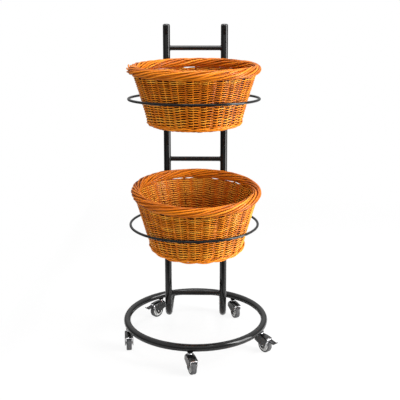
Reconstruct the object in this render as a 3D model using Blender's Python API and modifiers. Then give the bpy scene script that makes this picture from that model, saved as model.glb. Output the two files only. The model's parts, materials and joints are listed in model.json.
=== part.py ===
"""Rolling two-tier basket display stand, in metres, +Z up, front towards -Y.

A steel base ring on five swivel casters carries a ladder of two tube uprights. The ladder is in
two sections that plug together, and each section holds one wicker basket inside a wire hoop.
The origin lies on the floor, under the middle of the whole stand.
"""
import math

import bmesh
import bpy
from mathutils import Matrix

# Steel tube, wire and fits
TUBE_OD = 0.024
TUBE_WALL = 0.0015
CROSSBAR_OD = 0.016
CROSSBAR_WALL = 0.0012
WIRE_DIAMETER = 0.008
FIT_GAP = 0.0003
WELD_BITE = 0.001

# Base ring and ladder; bar rises are measured from the middle of the ring tube
RING_RADIUS = 0.2425
UPRIGHT_SPACING = 0.193
UPRIGHT_SETBACK = 0.006
BEND_RADIUS = 0.050
BASE_BAR_RISE = 0.088
MIDDLE_BAR_RISE = 0.573
JOINT_ABOVE_BAR = 0.076
UPPER_SECTION_LENGTH = 0.374
TOP_BAR_DROP = 0.074
SPIGOT_LENGTH = 0.060
SPIGOT_TAPER = 0.003

# End plugs, snap buttons and their springs
PLUG_DOME = 0.005
PLUG_CROWN_RADIUS = 0.005
PLUG_SPIGOT = 0.014
PLUG_WALL = 0.0025
FIX_HOLE_DROP = 0.028
FIX_HOLE_DIAMETER = 0.0075
BUTTON_PROUD = 0.0015
BUTTON_FLANGE_WIDTH = 0.001
BUTTON_FLANGE_THICKNESS = 0.0012
SPRING_STRIP = 0.0006
SPRING_WIDTH = 0.005
SPRING_LEG = 0.022

# Hoops, cradles and baskets; the drops are measured from the crossbar behind the basket's rim
HOOP_RADIUS = 0.202
LOWER_HOOP_DROP = 0.172
UPPER_HOOP_DROP = 0.150
LOWER_SEAT_DROP = 0.236
UPPER_SEAT_DROP = 0.228
LOWER_BASKET_SHIFT = 0.007
UPPER_BASKET_SHIFT = 0.002
LOWER_BASKET_LEAN = math.radians(6.0)
UPPER_BASKET_LEAN = math.radians(3.3)
BASKET_FORWARD = 0.009
BASKET_BASE_RADIUS = 0.149
BASKET_NECK_RADIUS = 0.190
BASKET_FLARE = 1.1
BASKET_WALL = 0.012
WEAVER_DIAMETER = 0.0058
BASKET_FLOOR = 0.008
FOOT_ROLL = 0.012
RIM_OVERHANG = 0.004
RIM_ROLL = 0.030
RIM_RISE = 0.1745

# Weave of a basket's wall: an even number of stakes, rows that pass them in front and behind in turn,
# and by how much of their mean height the rows grow thinner towards the rim
WEAVE_STAKES = 26
WEAVE_ROWS = 22
ROW_TIGHTENING = 0.15

# Casters
WHEEL_DIAMETER = 0.050
WHEEL_WIDTH = 0.018
TREAD_DEPTH = 0.006
TREAD_ROUNDING = 0.003
HUB_PROUD = 0.0005
HUB_CLEARANCE = 0.00075
HUB_BOSS_RADIUS = 0.007
HUB_RECESS = 0.004
AXLE_DIAMETER = 0.006
WHEEL_HEADROOM = 0.0055
CASTER_TRAIL = 0.020
FORK_PLATE = 0.002
FORK_HEAD_PLATE = 0.0025
FORK_HEAD_RADIUS = 0.012
FORK_TAIL = 0.0225
FORK_TAIL_DROP = 0.0035
FORK_TAIL_DEPTH = 0.011
FORK_NOSE_DEPTH = 0.0115
FORK_EYE_RADIUS = 0.0075
STEM_DIAMETER = 0.008
STEM_INSERT = 0.016
COLLAR_DIAMETER = 0.015
COLLAR_HEIGHT = 0.0045
BOSS_DIAMETER = 0.020
BOSS_WAIST_DIAMETER = 0.013
BOSS_HEIGHT = 0.0047
RIVET_DIAMETER = 0.013
RIVET_HEIGHT = 0.0022
HOOD_SIDE = 0.0018
HOOD_ROOF = 0.0027
HOOD_NOSE = 0.004
HOOD_NOSE_DEPTH = 0.025
HOOD_SHOULDER = 0.0125
HOOD_EAR_RADIUS = 0.010
SWIVEL_CLEARANCE = 0.0005

# Brake pedals
PIVOT_ANGLE = math.radians(50)
PIVOT_STANDOFF = 0.0054
PIVOT_PIN_DIAMETER = 0.003
PEDAL_BARREL_DIAMETER = 0.0064
PEDAL_CLEARANCE = 0.00125
PEDAL_LENGTH = 0.025
PEDAL_SLOPE = math.radians(-12)
PEDAL_LIP = 0.0065
PEDAL_LIP_SLOPE = math.radians(35)
PEDAL_THICKNESS = 0.003
SHOE_REACH = 0.0053
SHOE_WIDTH = 0.003
SHOE_LAG = math.radians(32)

# Name, bearing on the ring, direction the wheel trails in, and whether it has a brake
CASTERS = (
    ("front", math.radians(-93), math.radians(-70), False),
    ("right", math.radians(-21), math.radians(-47), True),
    ("rear_right", math.radians(55), math.radians(-65), False),
    ("rear_left", math.radians(125), math.radians(-138), True),
    ("left", math.radians(198), math.radians(-82), False),
)
SIDES = (("left", -1), ("right", 1))

# Facets
TUBE_SIDES = 12
CUTTER_SIDES = 16
BAR_SIDES = 8
WIRE_SIDES = 6
RING_STEPS = 40
HOOP_STEPS = 40
BASKET_STEPS = WEAVE_STAKES
RIM_SIDES = 8
FOOT_SIDES = 8
WHEEL_STEPS = 20
HUB_STEPS = 12
SMALL_STEPS = 10
BEND_STEPS = 6
CRADLE_STEPS = 12
DOME_STEPS = 3
SHOULDER_STEPS = 3
EAR_STEPS = 6

# Sizes that follow from those above
TUBE_RADIUS = TUBE_OD / 2
BORE_RADIUS = TUBE_RADIUS - TUBE_WALL
WIRE_RADIUS = WIRE_DIAMETER / 2
WHEEL_RADIUS = WHEEL_DIAMETER / 2
STEM_RADIUS = STEM_DIAMETER / 2
FORK_UNDER = WHEEL_DIAMETER + WHEEL_HEADROOM
FORK_TOP = FORK_UNDER + FORK_HEAD_PLATE
COLLAR_FOOT = FORK_TOP + FIT_GAP
COLLAR_TOP = COLLAR_FOOT + COLLAR_HEIGHT
BOSS_TOP = COLLAR_TOP + BOSS_HEIGHT
RING_Z = BOSS_TOP + FIT_GAP + TUBE_RADIUS
UPRIGHT_X = UPRIGHT_SPACING / 2
BASE_BAR_Z = RING_Z + BASE_BAR_RISE
MIDDLE_BAR_Z = RING_Z + MIDDLE_BAR_RISE
JOINT_Z = MIDDLE_BAR_Z + JOINT_ABOVE_BAR
TUBE_TOP_Z = JOINT_Z + UPPER_SECTION_LENGTH
TOP_BAR_Z = TUBE_TOP_Z - TOP_BAR_DROP
SPIGOT_RADIUS = BORE_RADIUS - FIT_GAP
SPIGOT_BORE = SPIGOT_RADIUS - TUBE_WALL
# Name, heights of the hoop and of the basket's seat, and the basket's sideways shift and forward lean
TIERS = (
    (
        "lower",
        MIDDLE_BAR_Z - LOWER_HOOP_DROP,
        MIDDLE_BAR_Z - LOWER_SEAT_DROP,
        LOWER_BASKET_SHIFT,
        LOWER_BASKET_LEAN,
    ),
    (
        "upper",
        TOP_BAR_Z - UPPER_HOOP_DROP,
        TOP_BAR_Z - UPPER_SEAT_DROP,
        UPPER_BASKET_SHIFT,
        UPPER_BASKET_LEAN,
    ),
)
HOOP_REACH = HOOP_RADIUS + WIRE_RADIUS + TUBE_RADIUS - WELD_BITE
HOOP_Y = UPRIGHT_SETBACK - math.sqrt(HOOP_REACH ** 2 - UPRIGHT_X ** 2)
BASKET_Y = HOOP_Y - BASKET_FORWARD
FOOT_RADIUS = FOOT_ROLL / 2
FOOT_RING_RADIUS = BASKET_BASE_RADIUS - FOOT_RADIUS
RIM_RADIUS = BASKET_NECK_RADIUS - BASKET_WALL / 2 + RIM_OVERHANG
RIM_ROLL_RADIUS = RIM_ROLL / 2
WEAVE_SWING = (BASKET_WALL - WEAVER_DIAMETER) / 2
STAKE_TO_FRONT = math.pi / WEAVE_STAKES
HUB_WIDTH = WHEEL_WIDTH + 2 * HUB_PROUD
FORK_GAP = HUB_WIDTH + 2 * HUB_CLEARANCE
PEDAL_WIDTH = FORK_GAP - 2 * PEDAL_CLEARANCE
FORK_HALF = FORK_GAP / 2 + FORK_PLATE
HOOD_HALF = FORK_HALF + FIT_GAP + HOOD_SIDE
FORK_TAIL_X = CASTER_TRAIL + FORK_TAIL
PIVOT_REACH = WHEEL_RADIUS + PIVOT_STANDOFF
PIVOT_X = CASTER_TRAIL + PIVOT_REACH * math.cos(PIVOT_ANGLE)
PIVOT_Z = WHEEL_RADIUS + PIVOT_REACH * math.sin(PIVOT_ANGLE)
PEDAL_REACH = PIVOT_X + PEDAL_LENGTH * math.cos(PEDAL_SLOPE) + PEDAL_LIP * math.cos(PEDAL_LIP_SLOPE)
BUTTON_RADIUS = FIX_HOLE_DIAMETER / 2 - FIT_GAP
BUTTON_FLANGE_RADIUS = BUTTON_RADIUS + BUTTON_FLANGE_WIDTH

# How far the stand reaches from the middle of its ring, which puts the origin at its middle
RIM_FORWARD = RIM_ROLL_RADIUS + max(
    RIM_RISE * math.sin(lean) + RIM_RADIUS * math.cos(lean) for tier, hoop, seat, shift, lean in TIERS
)
REACH_FRONT = RIM_FORWARD - BASKET_Y
REACH_SIDE = RING_RADIUS + TUBE_RADIUS
REACH_PEDAL = max(
    RING_RADIUS * math.cos(bearing)
    + PEDAL_REACH * math.cos(heading)
    + PEDAL_WIDTH / 2 * abs(math.sin(heading))
    for name, bearing, heading, braked in CASTERS
    if braked
)
ORIGIN_X = (REACH_SIDE - max(REACH_PEDAL, REACH_SIDE)) / 2
ORIGIN_Y = (REACH_FRONT - REACH_SIDE) / 2

# Turns an outline's plane: upright along X, or upright along Y
STAND_ON_X = Matrix.Rotation(math.pi / 2, 4, "X")
STAND_ON_Y = Matrix(((0, 0, 1, 0), (1, 0, 0, 0), (0, 1, 0, 0), (0, 0, 0, 1)))


def clear_scene():
    """Remove every object that the start-up file brings."""
    for obj in list(bpy.data.objects):
        bpy.data.objects.remove(obj, do_unlink=True)


def new_collection(name):
    """Add a collection to the scene."""
    collection = bpy.data.collections.new(name)
    bpy.context.scene.collection.children.link(collection)
    return collection


def new_material(name, colour, roughness, metallic=0.0):
    """Make a plain Principled finish."""
    material = bpy.data.materials.new(name)
    material.use_nodes = True
    shader = material.node_tree.nodes["Principled BSDF"]
    shader.inputs["Base Color"].default_value = (*colour, 1.0)
    shader.inputs["Roughness"].default_value = roughness
    shader.inputs["Metallic"].default_value = metallic
    material.diffuse_color = (*colour, 1.0)
    return material


def new_axis(name, parent=None, location=(0, 0, 0), rotation=(0, 0, 0)):
    """Add an empty that pieces are placed by or turn about."""
    axis = bpy.data.objects.new(name, None)
    axis.parent = parent
    axis.location = location
    axis.rotation_euler = rotation
    axis.empty_display_size = TUBE_OD
    PARTS.objects.link(axis)
    return axis


def add_piece(name, mesh, parent, material):
    """Put a mesh into the stand as one named piece."""
    mesh.name = name
    mesh.materials.clear()
    mesh.materials.append(material)
    mesh.shade_smooth()
    mesh.set_sharp_from_angle(angle=math.radians(40))
    piece = bpy.data.objects.new(name, mesh)
    piece.parent = parent
    PARTS.objects.link(piece)
    return piece


def add_cutter(name, mesh, parent):
    """Put a mesh among the cutters, which are not pieces of the stand."""
    cutter = bpy.data.objects.new(name, mesh)
    cutter.parent = parent
    cutter.hide_render = True
    cutter.display_type = "WIRE"
    CUTTERS.objects.link(cutter)
    return cutter


def boolean(piece, tool, operation):
    """Cut a piece by a tool, or join the tool to it."""
    modifier = piece.modifiers.new(operation.title() + " " + tool.name, "BOOLEAN")
    modifier.operation = operation
    modifier.object = tool
    modifier.solver = "EXACT"


def curve_mesh(curve):
    """Turn curve data into a mesh with its loose caps welded on."""
    carrier = bpy.data.objects.new("curve_carrier", curve)
    bpy.context.scene.collection.objects.link(carrier)
    graph = bpy.context.evaluated_depsgraph_get()
    mesh = bpy.data.meshes.new_from_object(carrier.evaluated_get(graph))
    bpy.data.objects.remove(carrier, do_unlink=True)
    shape = bmesh.new()
    shape.from_mesh(mesh)
    bmesh.ops.remove_doubles(shape, verts=shape.verts, dist=1e-6)
    shape.to_mesh(mesh)
    shape.free()
    return mesh


def poly_curve(points, cyclic, dimensions):
    """Make curve data of straight spans through the points."""
    curve = bpy.data.curves.new("path", "CURVE")
    curve.dimensions = dimensions
    spline = curve.splines.new("POLY")
    spline.points.add(len(points) - 1)
    for point, place in zip(spline.points, points):
        point.co = (*place, 1.0)
    spline.use_cyclic_u = cyclic
    return curve


def rod_mesh(points, diameter, sides, capped=True):
    """Sweep a round section along a path; without caps it is an open skin."""
    curve = poly_curve(points, cyclic=False, dimensions="3D")
    curve.bevel_depth = diameter / 2
    curve.bevel_resolution = (sides - 4) // 2
    curve.use_fill_caps = capped
    return curve_mesh(curve)


def slab_mesh(outline, width, plane):
    """Extrude a closed flat outline both ways from its own plane."""
    curve = poly_curve([(u, v, 0) for u, v in outline], cyclic=True, dimensions="2D")
    curve.fill_mode = "BOTH"
    curve.extrude = width / 2
    mesh = curve_mesh(curve)
    mesh.transform(plane)
    return mesh


def cylinder_mesh(radius, low, high, sides, turn=Matrix.Identity(4)):
    """Make a capped cylinder along Z between two heights, then turn it."""
    shape = bmesh.new()
    place = Matrix.Translation((0, 0, (low + high) / 2))
    bmesh.ops.create_cone(
        shape,
        cap_ends=True,
        segments=sides,
        radius1=radius,
        radius2=radius,
        depth=high - low,
        matrix=turn @ place,
    )
    mesh = bpy.data.meshes.new("cylinder")
    shape.to_mesh(mesh)
    shape.free()
    return mesh


def torus_mesh(radius, roll_radius, steps, sides, centre):
    """Make a level ring with a round section."""
    bpy.ops.mesh.primitive_torus_add(
        major_radius=radius, minor_radius=roll_radius, major_segments=steps, minor_segments=sides
    )
    carrier = bpy.context.object
    mesh = carrier.data
    bpy.data.objects.remove(carrier, do_unlink=True)
    mesh.transform(Matrix.Translation(centre))
    return mesh


def turned_piece(name, profile, steps, parent, material, closed=False, turn=(0, 0, 0)):
    """Turn a profile of (radius, height) points about the local Z axis.

    The profile runs down the outer side. A closed one makes a ring, and an open one starts and
    ends on the axis.
    """
    mesh = bpy.data.meshes.new(name)
    count = len(profile)
    edges = [(index, (index + 1) % count) for index in range(count if closed else count - 1)]
    mesh.from_pydata([(radius, 0, height) for radius, height in profile], edges, [])
    piece = add_piece(name, mesh, parent, material)
    piece.rotation_euler = turn
    screw = piece.modifiers.new("Turn", "SCREW")
    screw.axis = "Z"
    screw.angle = 2 * math.pi
    screw.steps = steps
    screw.render_steps = steps
    screw.use_merge_vertices = True
    screw.merge_threshold = 1e-6
    screw.use_smooth_shade = True
    return piece


def arc(centre, radius, start, end, steps):
    """Points along an arc in a plane, both ends included."""
    angles = [start + (end - start) * step / steps for step in range(steps + 1)]
    return [(centre[0] + radius * math.cos(a), centre[1] + radius * math.sin(a)) for a in angles]


def polar(centre, radius, angle):
    """One point of a plane at a distance and direction from another."""
    return (centre[0] + radius * math.cos(angle), centre[1] + radius * math.sin(angle))


def upright_cutters():
    """Clearance round both uprights, which every bar and wire welded to them is coped by."""
    cutters = []
    for side, sign in SIDES:
        mesh = cylinder_mesh(TUBE_RADIUS + FIT_GAP, RING_Z, TUBE_TOP_Z, CUTTER_SIDES)
        mesh.transform(Matrix.Translation((sign * UPRIGHT_X, UPRIGHT_SETBACK, 0)))
        cutters.append(add_cutter(f"upright_clearance_{side}", mesh, STAND))
    return cutters


def build_base_ring():
    """Hollow tube ring, with a hole in its underside for each caster stem."""
    centre = (0, 0, RING_Z)
    ring = add_piece(
        "base_ring", torus_mesh(RING_RADIUS, TUBE_RADIUS, RING_STEPS, TUBE_SIDES, centre), STAND, BLACK_COAT
    )
    for name, bearing, heading, braked in CASTERS:
        mesh = cylinder_mesh(STEM_RADIUS + FIT_GAP, RING_Z - TUBE_OD, RING_Z, SMALL_STEPS)
        mesh.transform(Matrix.Translation((*polar((0, 0), RING_RADIUS, bearing), 0)))
        boolean(ring, add_cutter(f"stem_hole_{name}", mesh, STAND), "DIFFERENCE")
    bore = torus_mesh(RING_RADIUS, BORE_RADIUS, RING_STEPS, BAR_SIDES, centre)
    boolean(ring, add_cutter("ring_bore", bore, STAND), "DIFFERENCE")


def hole_cutter(name, sign, height):
    """Drill for a fixing hole in the front wall of an upright."""
    mesh = cylinder_mesh(FIX_HOLE_DIAMETER / 2, 0, TUBE_OD, SMALL_STEPS, STAND_ON_X)
    mesh.transform(Matrix.Translation((sign * UPRIGHT_X, UPRIGHT_SETBACK, height)))
    return add_cutter(name, mesh, STAND)


def lower_upright_path(x):
    """Down the upright, round the bend and back along the floor arm to the ring."""
    arm_end = math.sqrt(RING_RADIUS ** 2 - UPRIGHT_X ** 2)
    centre = (UPRIGHT_SETBACK + BEND_RADIUS, RING_Z + BEND_RADIUS)
    bend = arc(centre, BEND_RADIUS, math.pi, 1.5 * math.pi, BEND_STEPS)
    return [(x, UPRIGHT_SETBACK, JOINT_Z)] + [(x, y, z) for y, z in bend] + [(x, arm_end, RING_Z)]


def build_uprights():
    """Both ladder legs, each a bent lower tube and an upper tube with a swaged spigot."""
    cope = torus_mesh(RING_RADIUS, TUBE_RADIUS + FIT_GAP, RING_STEPS, CUTTER_SIDES, (0, 0, RING_Z))
    ring_clearance = add_cutter("ring_clearance", cope, STAND)
    for side, sign in SIDES:
        x = sign * UPRIGHT_X
        snap_hole = hole_cutter(f"snap_hole_{side}", sign, JOINT_Z - FIX_HOLE_DROP)
        skin = rod_mesh(lower_upright_path(x), TUBE_OD, TUBE_SIDES, capped=False)
        lower = add_piece(f"upright_{side}_lower", skin, STAND, BLACK_COAT)
        wall = lower.modifiers.new("Tube wall", "SOLIDIFY")
        wall.thickness = TUBE_WALL
        wall.offset = -1
        boolean(lower, ring_clearance, "DIFFERENCE")
        boolean(lower, snap_hole, "DIFFERENCE")

        shoulder = JOINT_Z + FIT_GAP
        profile = [
            (TUBE_RADIUS, TUBE_TOP_Z),
            (TUBE_RADIUS, shoulder),
            (SPIGOT_RADIUS, shoulder),
            (SPIGOT_RADIUS, JOINT_Z - SPIGOT_LENGTH),
            (SPIGOT_BORE, JOINT_Z - SPIGOT_LENGTH),
            (SPIGOT_BORE, shoulder),
            (BORE_RADIUS, shoulder + SPIGOT_TAPER),
            (BORE_RADIUS, TUBE_TOP_Z),
        ]
        upper = turned_piece(f"upright_{side}_upper", profile, TUBE_SIDES, STAND, BLACK_COAT, closed=True)
        upper.location = (x, UPRIGHT_SETBACK, 0)
        boolean(upper, snap_hole, "DIFFERENCE")
        boolean(upper, hole_cutter(f"top_hole_{side}", sign, TUBE_TOP_Z - FIX_HOLE_DROP), "DIFFERENCE")


def build_crossbars(cutters):
    """Three level rungs, coped to the uprights at both ends."""
    for name, height in (("base", BASE_BAR_Z), ("middle", MIDDLE_BAR_Z), ("top", TOP_BAR_Z)):
        path = [(x, UPRIGHT_SETBACK, height) for x in (-UPRIGHT_X, UPRIGHT_X)]
        skin = rod_mesh(path, CROSSBAR_OD, BAR_SIDES, capped=False)
        bar = add_piece(f"crossbar_{name}", skin, STAND, BLACK_COAT)
        wall = bar.modifiers.new("Tube wall", "SOLIDIFY")
        wall.thickness = CROSSBAR_WALL
        wall.offset = -1
        for cutter in cutters:
            boolean(bar, cutter, "DIFFERENCE")


def build_plugs():
    """Domed end plugs pushed into the tops of the uprights."""
    seat = TUBE_TOP_Z + FIT_GAP
    spigot = BORE_RADIUS - FIT_GAP
    quarter = arc((0, 0), 1, math.pi / 2, 0, DOME_STEPS)
    flank = TUBE_RADIUS - PLUG_CROWN_RADIUS
    dome = [(PLUG_CROWN_RADIUS + flank * u, seat + PLUG_DOME * v) for u, v in quarter]
    profile = [
        (0, seat + PLUG_DOME),
        *dome,
        (spigot, seat),
        (spigot, seat - PLUG_SPIGOT),
        (spigot - PLUG_WALL, seat - PLUG_SPIGOT),
        (spigot - PLUG_WALL, seat),
        (0, seat),
    ]
    for side, sign in SIDES:
        plug = turned_piece(f"plug_{side}", profile, TUBE_SIDES, STAND, BLACK_PLASTIC)
        plug.location = (sign * UPRIGHT_X, UPRIGHT_SETBACK, 0)


def build_snap_fixings():
    """Sprung buttons that lock the upper section, with the hairpin springs behind them."""
    tip = TUBE_RADIUS + BUTTON_PROUD
    stop = math.sqrt(SPIGOT_BORE ** 2 - BUTTON_FLANGE_RADIUS ** 2) - FIT_GAP
    back = stop - BUTTON_FLANGE_THICKNESS
    profile = [
        (0, tip),
        (BUTTON_RADIUS - BUTTON_PROUD, tip),
        (BUTTON_RADIUS, tip - BUTTON_PROUD),
        (BUTTON_RADIUS, stop),
        (BUTTON_FLANGE_RADIUS, stop),
        (BUTTON_FLANGE_RADIUS, back),
        (0, back),
    ]
    rear = math.sqrt(SPIGOT_BORE ** 2 - (SPRING_WIDTH / 2 + FIT_GAP) ** 2) - FIT_GAP
    front = FIT_GAP - back
    bend = (rear - front) / 2
    middle = ((rear + front) / 2, SPRING_LEG)
    foot = -BUTTON_FLANGE_RADIUS
    outer = arc(middle, bend, 0, math.pi, SMALL_STEPS // 2)
    inner = arc(middle, bend - SPRING_STRIP, math.pi, 0, SMALL_STEPS // 2)
    hairpin = [
        (rear, foot),
        *outer,
        (front, foot),
        (front + SPRING_STRIP, foot),
        *inner,
        (rear - SPRING_STRIP, foot),
    ]
    for side, sign in SIDES:
        place = (sign * UPRIGHT_X, UPRIGHT_SETBACK, JOINT_Z - FIX_HOLE_DROP)
        axis = new_axis(f"snap_axis_{side}", STAND, place)
        turned_piece(
            f"snap_button_{side}", profile, SMALL_STEPS, axis, ZINC, turn=(math.pi / 2, 0, 0)
        )
        add_piece(f"snap_spring_{side}", slab_mesh(hairpin, SPRING_WIDTH, STAND_ON_Y), axis, ZINC)


def build_hoop(tier, height, cutters):
    """Level wire guard hoop, welded to the fronts of the uprights."""
    mesh = torus_mesh(HOOP_RADIUS, WIRE_RADIUS, HOOP_STEPS, WIRE_SIDES, (0, HOOP_Y, height))
    hoop = add_piece(f"hoop_{tier}", mesh, STAND, BLACK_COAT)
    for cutter in cutters:
        boolean(hoop, cutter, "DIFFERENCE")


def build_cradle(tier, seat, lean, cutters):
    """U-shaped wire under a basket's foot, its two legs welded to the uprights."""
    depth = -(WIRE_RADIUS + FIT_GAP)
    leg = (UPRIGHT_SETBACK - BASKET_Y) / math.cos(lean)
    front = arc((0, 0), 1, math.pi, 2 * math.pi, CRADLE_STEPS)
    bow = [(x * UPRIGHT_X, y * FOOT_RING_RADIUS, depth) for x, y in front]
    path = [(-UPRIGHT_X, leg, depth), *bow, (UPRIGHT_X, leg, depth)]
    cradle = add_piece(f"cradle_{tier}", rod_mesh(path, WIRE_DIAMETER, WIRE_SIDES), seat, BLACK_COAT)
    for cutter in cutters:
        boolean(cradle, cutter, "DIFFERENCE")


def wall_radius(share):
    """Outer radius of a basket's wall at a share of the way from foot to rim."""
    return BASKET_BASE_RADIUS + (BASKET_NECK_RADIUS - BASKET_BASE_RADIUS) * share ** BASKET_FLARE


def weave_point(stake, row, side, low, high):
    """One point of the woven wall: in front of its stake or behind it, on the outer or inner side."""
    share = row / (WEAVE_ROWS + 1)
    share *= 1 + ROW_TIGHTENING * (1 - share)
    at_edge = row in (0, WEAVE_ROWS + 1)
    swing = 0 if at_edge else WEAVE_SWING * (-1) ** (stake + row)
    radius = wall_radius(share) - BASKET_WALL / 2 + swing + side * WEAVER_DIAMETER / 2
    angle = 2 * math.pi * stake / WEAVE_STAKES
    return (radius * math.cos(angle), radius * math.sin(angle), low + (high - low) * share)


def woven_wall_mesh(low, high):
    """Roll a grid into the wall: stakes along one way, up its outside and down its inside the other."""
    rows = range(WEAVE_ROWS + 2)
    section = [(row, 1) for row in rows] + [(row, -1) for row in reversed(rows)] + [(0, 1)]
    spans = len(section) - 1
    shape = bmesh.new()
    bmesh.ops.create_grid(shape, x_segments=WEAVE_STAKES, y_segments=spans, size=0.5)
    for vert in shape.verts:
        stake = round((vert.co.x + 0.5) * WEAVE_STAKES)
        row, side = section[round((vert.co.y + 0.5) * spans)]
        vert.co = weave_point(stake, row, side, low, high)
    bmesh.ops.remove_doubles(shape, verts=shape.verts, dist=1e-6)
    bmesh.ops.recalc_face_normals(shape, faces=shape.faces)
    mesh = bpy.data.meshes.new("woven_wall")
    shape.to_mesh(mesh)
    shape.free()
    return mesh


def build_basket(tier, seat):
    """Round wicker basket: floor, foot border, flaring wall and rolled rim."""
    low = FOOT_ROLL + FIT_GAP
    floor_radius = BASKET_BASE_RADIUS - BASKET_WALL - FIT_GAP
    floor = cylinder_mesh(floor_radius, low, low + BASKET_FLOOR, BASKET_STEPS)
    add_piece(f"basket_{tier}_floor", floor, seat, WICKER)
    foot = torus_mesh(FOOT_RING_RADIUS, FOOT_RADIUS, BASKET_STEPS, FOOT_SIDES, (0, 0, FOOT_RADIUS))
    add_piece(f"basket_{tier}_foot", foot, seat, WICKER)
    rim = torus_mesh(RIM_RADIUS, RIM_ROLL_RADIUS, BASKET_STEPS, RIM_SIDES, (0, 0, RIM_RISE))
    add_piece(f"basket_{tier}_rim", rim, seat, WICKER)

    neck = BASKET_NECK_RADIUS - WEAVE_SWING
    outside = max(0, RIM_RADIUS - neck)
    under_rim = math.sqrt(RIM_ROLL_RADIUS ** 2 - outside ** 2)
    high = RIM_RISE - under_rim - FIT_GAP
    add_piece(f"basket_{tier}_wall", woven_wall_mesh(low, high), seat, WICKER)


def build_tiers(cutters):
    """The hoop, the cradle and the basket of each tier."""
    for tier, hoop_height, seat_height, shift, lean in TIERS:
        build_hoop(tier, hoop_height, cutters)
        seat = new_axis(f"cradle_plane_{tier}", STAND, (0, BASKET_Y, seat_height), (lean, 0, 0))
        build_cradle(tier, seat, lean, cutters)
        axis = new_axis(f"basket_axis_{tier}", seat, (shift, 0, 0), (0, 0, STAKE_TO_FRONT))
        build_basket(tier, axis)


def build_stem(name, swivel):
    """Threaded stem with its welded boss, bright collar and the rivet that holds the fork."""
    neck = FORK_UNDER - FIT_GAP
    profile = [
        (0, BOSS_TOP + STEM_INSERT),
        (STEM_RADIUS, BOSS_TOP + STEM_INSERT),
        (STEM_RADIUS, BOSS_TOP),
        (BOSS_DIAMETER / 2, BOSS_TOP),
        (BOSS_WAIST_DIAMETER / 2, COLLAR_TOP),
        (COLLAR_DIAMETER / 2, COLLAR_TOP),
        (COLLAR_DIAMETER / 2, COLLAR_FOOT),
        (STEM_RADIUS, COLLAR_FOOT),
        (STEM_RADIUS, neck),
        (RIVET_DIAMETER / 2, neck),
        (RIVET_DIAMETER / 2, neck - RIVET_HEIGHT),
        (0, neck - RIVET_HEIGHT),
    ]
    turned_piece(f"caster_{name}_stem", profile, SMALL_STEPS, swivel, ZINC)


def fork_outline():
    """Side view of the fork: head plate, sloping roof over the wheel, and the axle eye."""
    axle = (CASTER_TRAIL, WHEEL_RADIUS)
    tail_top = FORK_TOP - FORK_TAIL_DROP
    return [
        (-FORK_HEAD_RADIUS, FORK_TOP),
        (CASTER_TRAIL - FORK_EYE_RADIUS, FORK_TOP),
        (FORK_TAIL_X, tail_top),
        (FORK_TAIL_X, tail_top - FORK_TAIL_DEPTH),
        *arc(axle, FORK_EYE_RADIUS, 0, -math.pi, EAR_STEPS),
        (-FORK_HEAD_RADIUS, FORK_TOP - FORK_NOSE_DEPTH),
    ]


def under_roof(lift, nose, tail):
    """Everything below the fork's roof line, moved up by a lift; a cutter for channels."""
    slope_start = CASTER_TRAIL - FORK_EYE_RADIUS
    fall = FORK_TAIL_DROP / (FORK_TAIL_X - slope_start)
    roof = FORK_TOP + lift
    return [
        (nose, roof),
        (slope_start, roof),
        (tail, roof - fall * (tail - slope_start)),
        (tail, -WHEEL_RADIUS),
        (nose, -WHEEL_RADIUS),
    ]


def across(radius, reach, place):
    """Cylinder along the axle's direction, centred on a point of the side view."""
    mesh = cylinder_mesh(radius, -reach, reach, SMALL_STEPS, STAND_ON_X)
    mesh.transform(Matrix.Translation((place[0], 0, place[1])))
    return mesh


def build_fork(name, swivel, axle_hole, braked):
    """Pressed fork: an inverted channel open to the wheel, with holes for stem, axle and pivot."""
    blank = slab_mesh(fork_outline(), 2 * FORK_HALF, STAND_ON_X)
    fork = add_piece(f"caster_{name}_fork", blank, swivel, CHROME)
    channel = under_roof(-FORK_HEAD_PLATE, -WHEEL_DIAMETER, CASTER_TRAIL + WHEEL_DIAMETER)
    channel_cutter = add_cutter(f"fork_channel_{name}", slab_mesh(channel, FORK_GAP, STAND_ON_X), swivel)
    boolean(fork, channel_cutter, "DIFFERENCE")
    stem_hole = cylinder_mesh(STEM_RADIUS + SWIVEL_CLEARANCE, WHEEL_DIAMETER, BOSS_TOP, SMALL_STEPS)
    boolean(fork, add_cutter(f"fork_stem_hole_{name}", stem_hole, swivel), "DIFFERENCE")
    boolean(fork, axle_hole, "DIFFERENCE")
    if braked:
        pivot_hole = across(PIVOT_PIN_DIAMETER / 2 + FIT_GAP, HOOD_HALF, (PIVOT_X, PIVOT_Z))
        boolean(fork, add_cutter(f"pivot_hole_{name}", pivot_hole, swivel), "DIFFERENCE")


def hood_outline():
    """Side view of the plastic hood: roof, nose and the ears that hide the axle ends."""
    roof = FORK_TOP + FIT_GAP + HOOD_ROOF
    nose = -FORK_HEAD_RADIUS - FIT_GAP - HOOD_NOSE
    tail = FORK_TAIL_X - HOOD_NOSE
    slope_start = CASTER_TRAIL - FORK_EYE_RADIUS
    fall = FORK_TAIL_DROP / (FORK_TAIL_X - slope_start)
    axle = (CASTER_TRAIL, WHEEL_RADIUS)
    bend = (nose + HOOD_SHOULDER, roof - HOOD_SHOULDER)
    return [
        *arc(bend, HOOD_SHOULDER, math.pi, math.pi / 2, SHOULDER_STEPS),
        (slope_start, roof),
        (tail, roof - fall * (tail - slope_start)),
        (tail, roof - FORK_TAIL_DEPTH - FORK_TAIL_DROP),
        *arc(axle, HOOD_EAR_RADIUS, 0, -math.pi, EAR_STEPS),
        (nose, roof - HOOD_NOSE_DEPTH),
    ]


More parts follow.
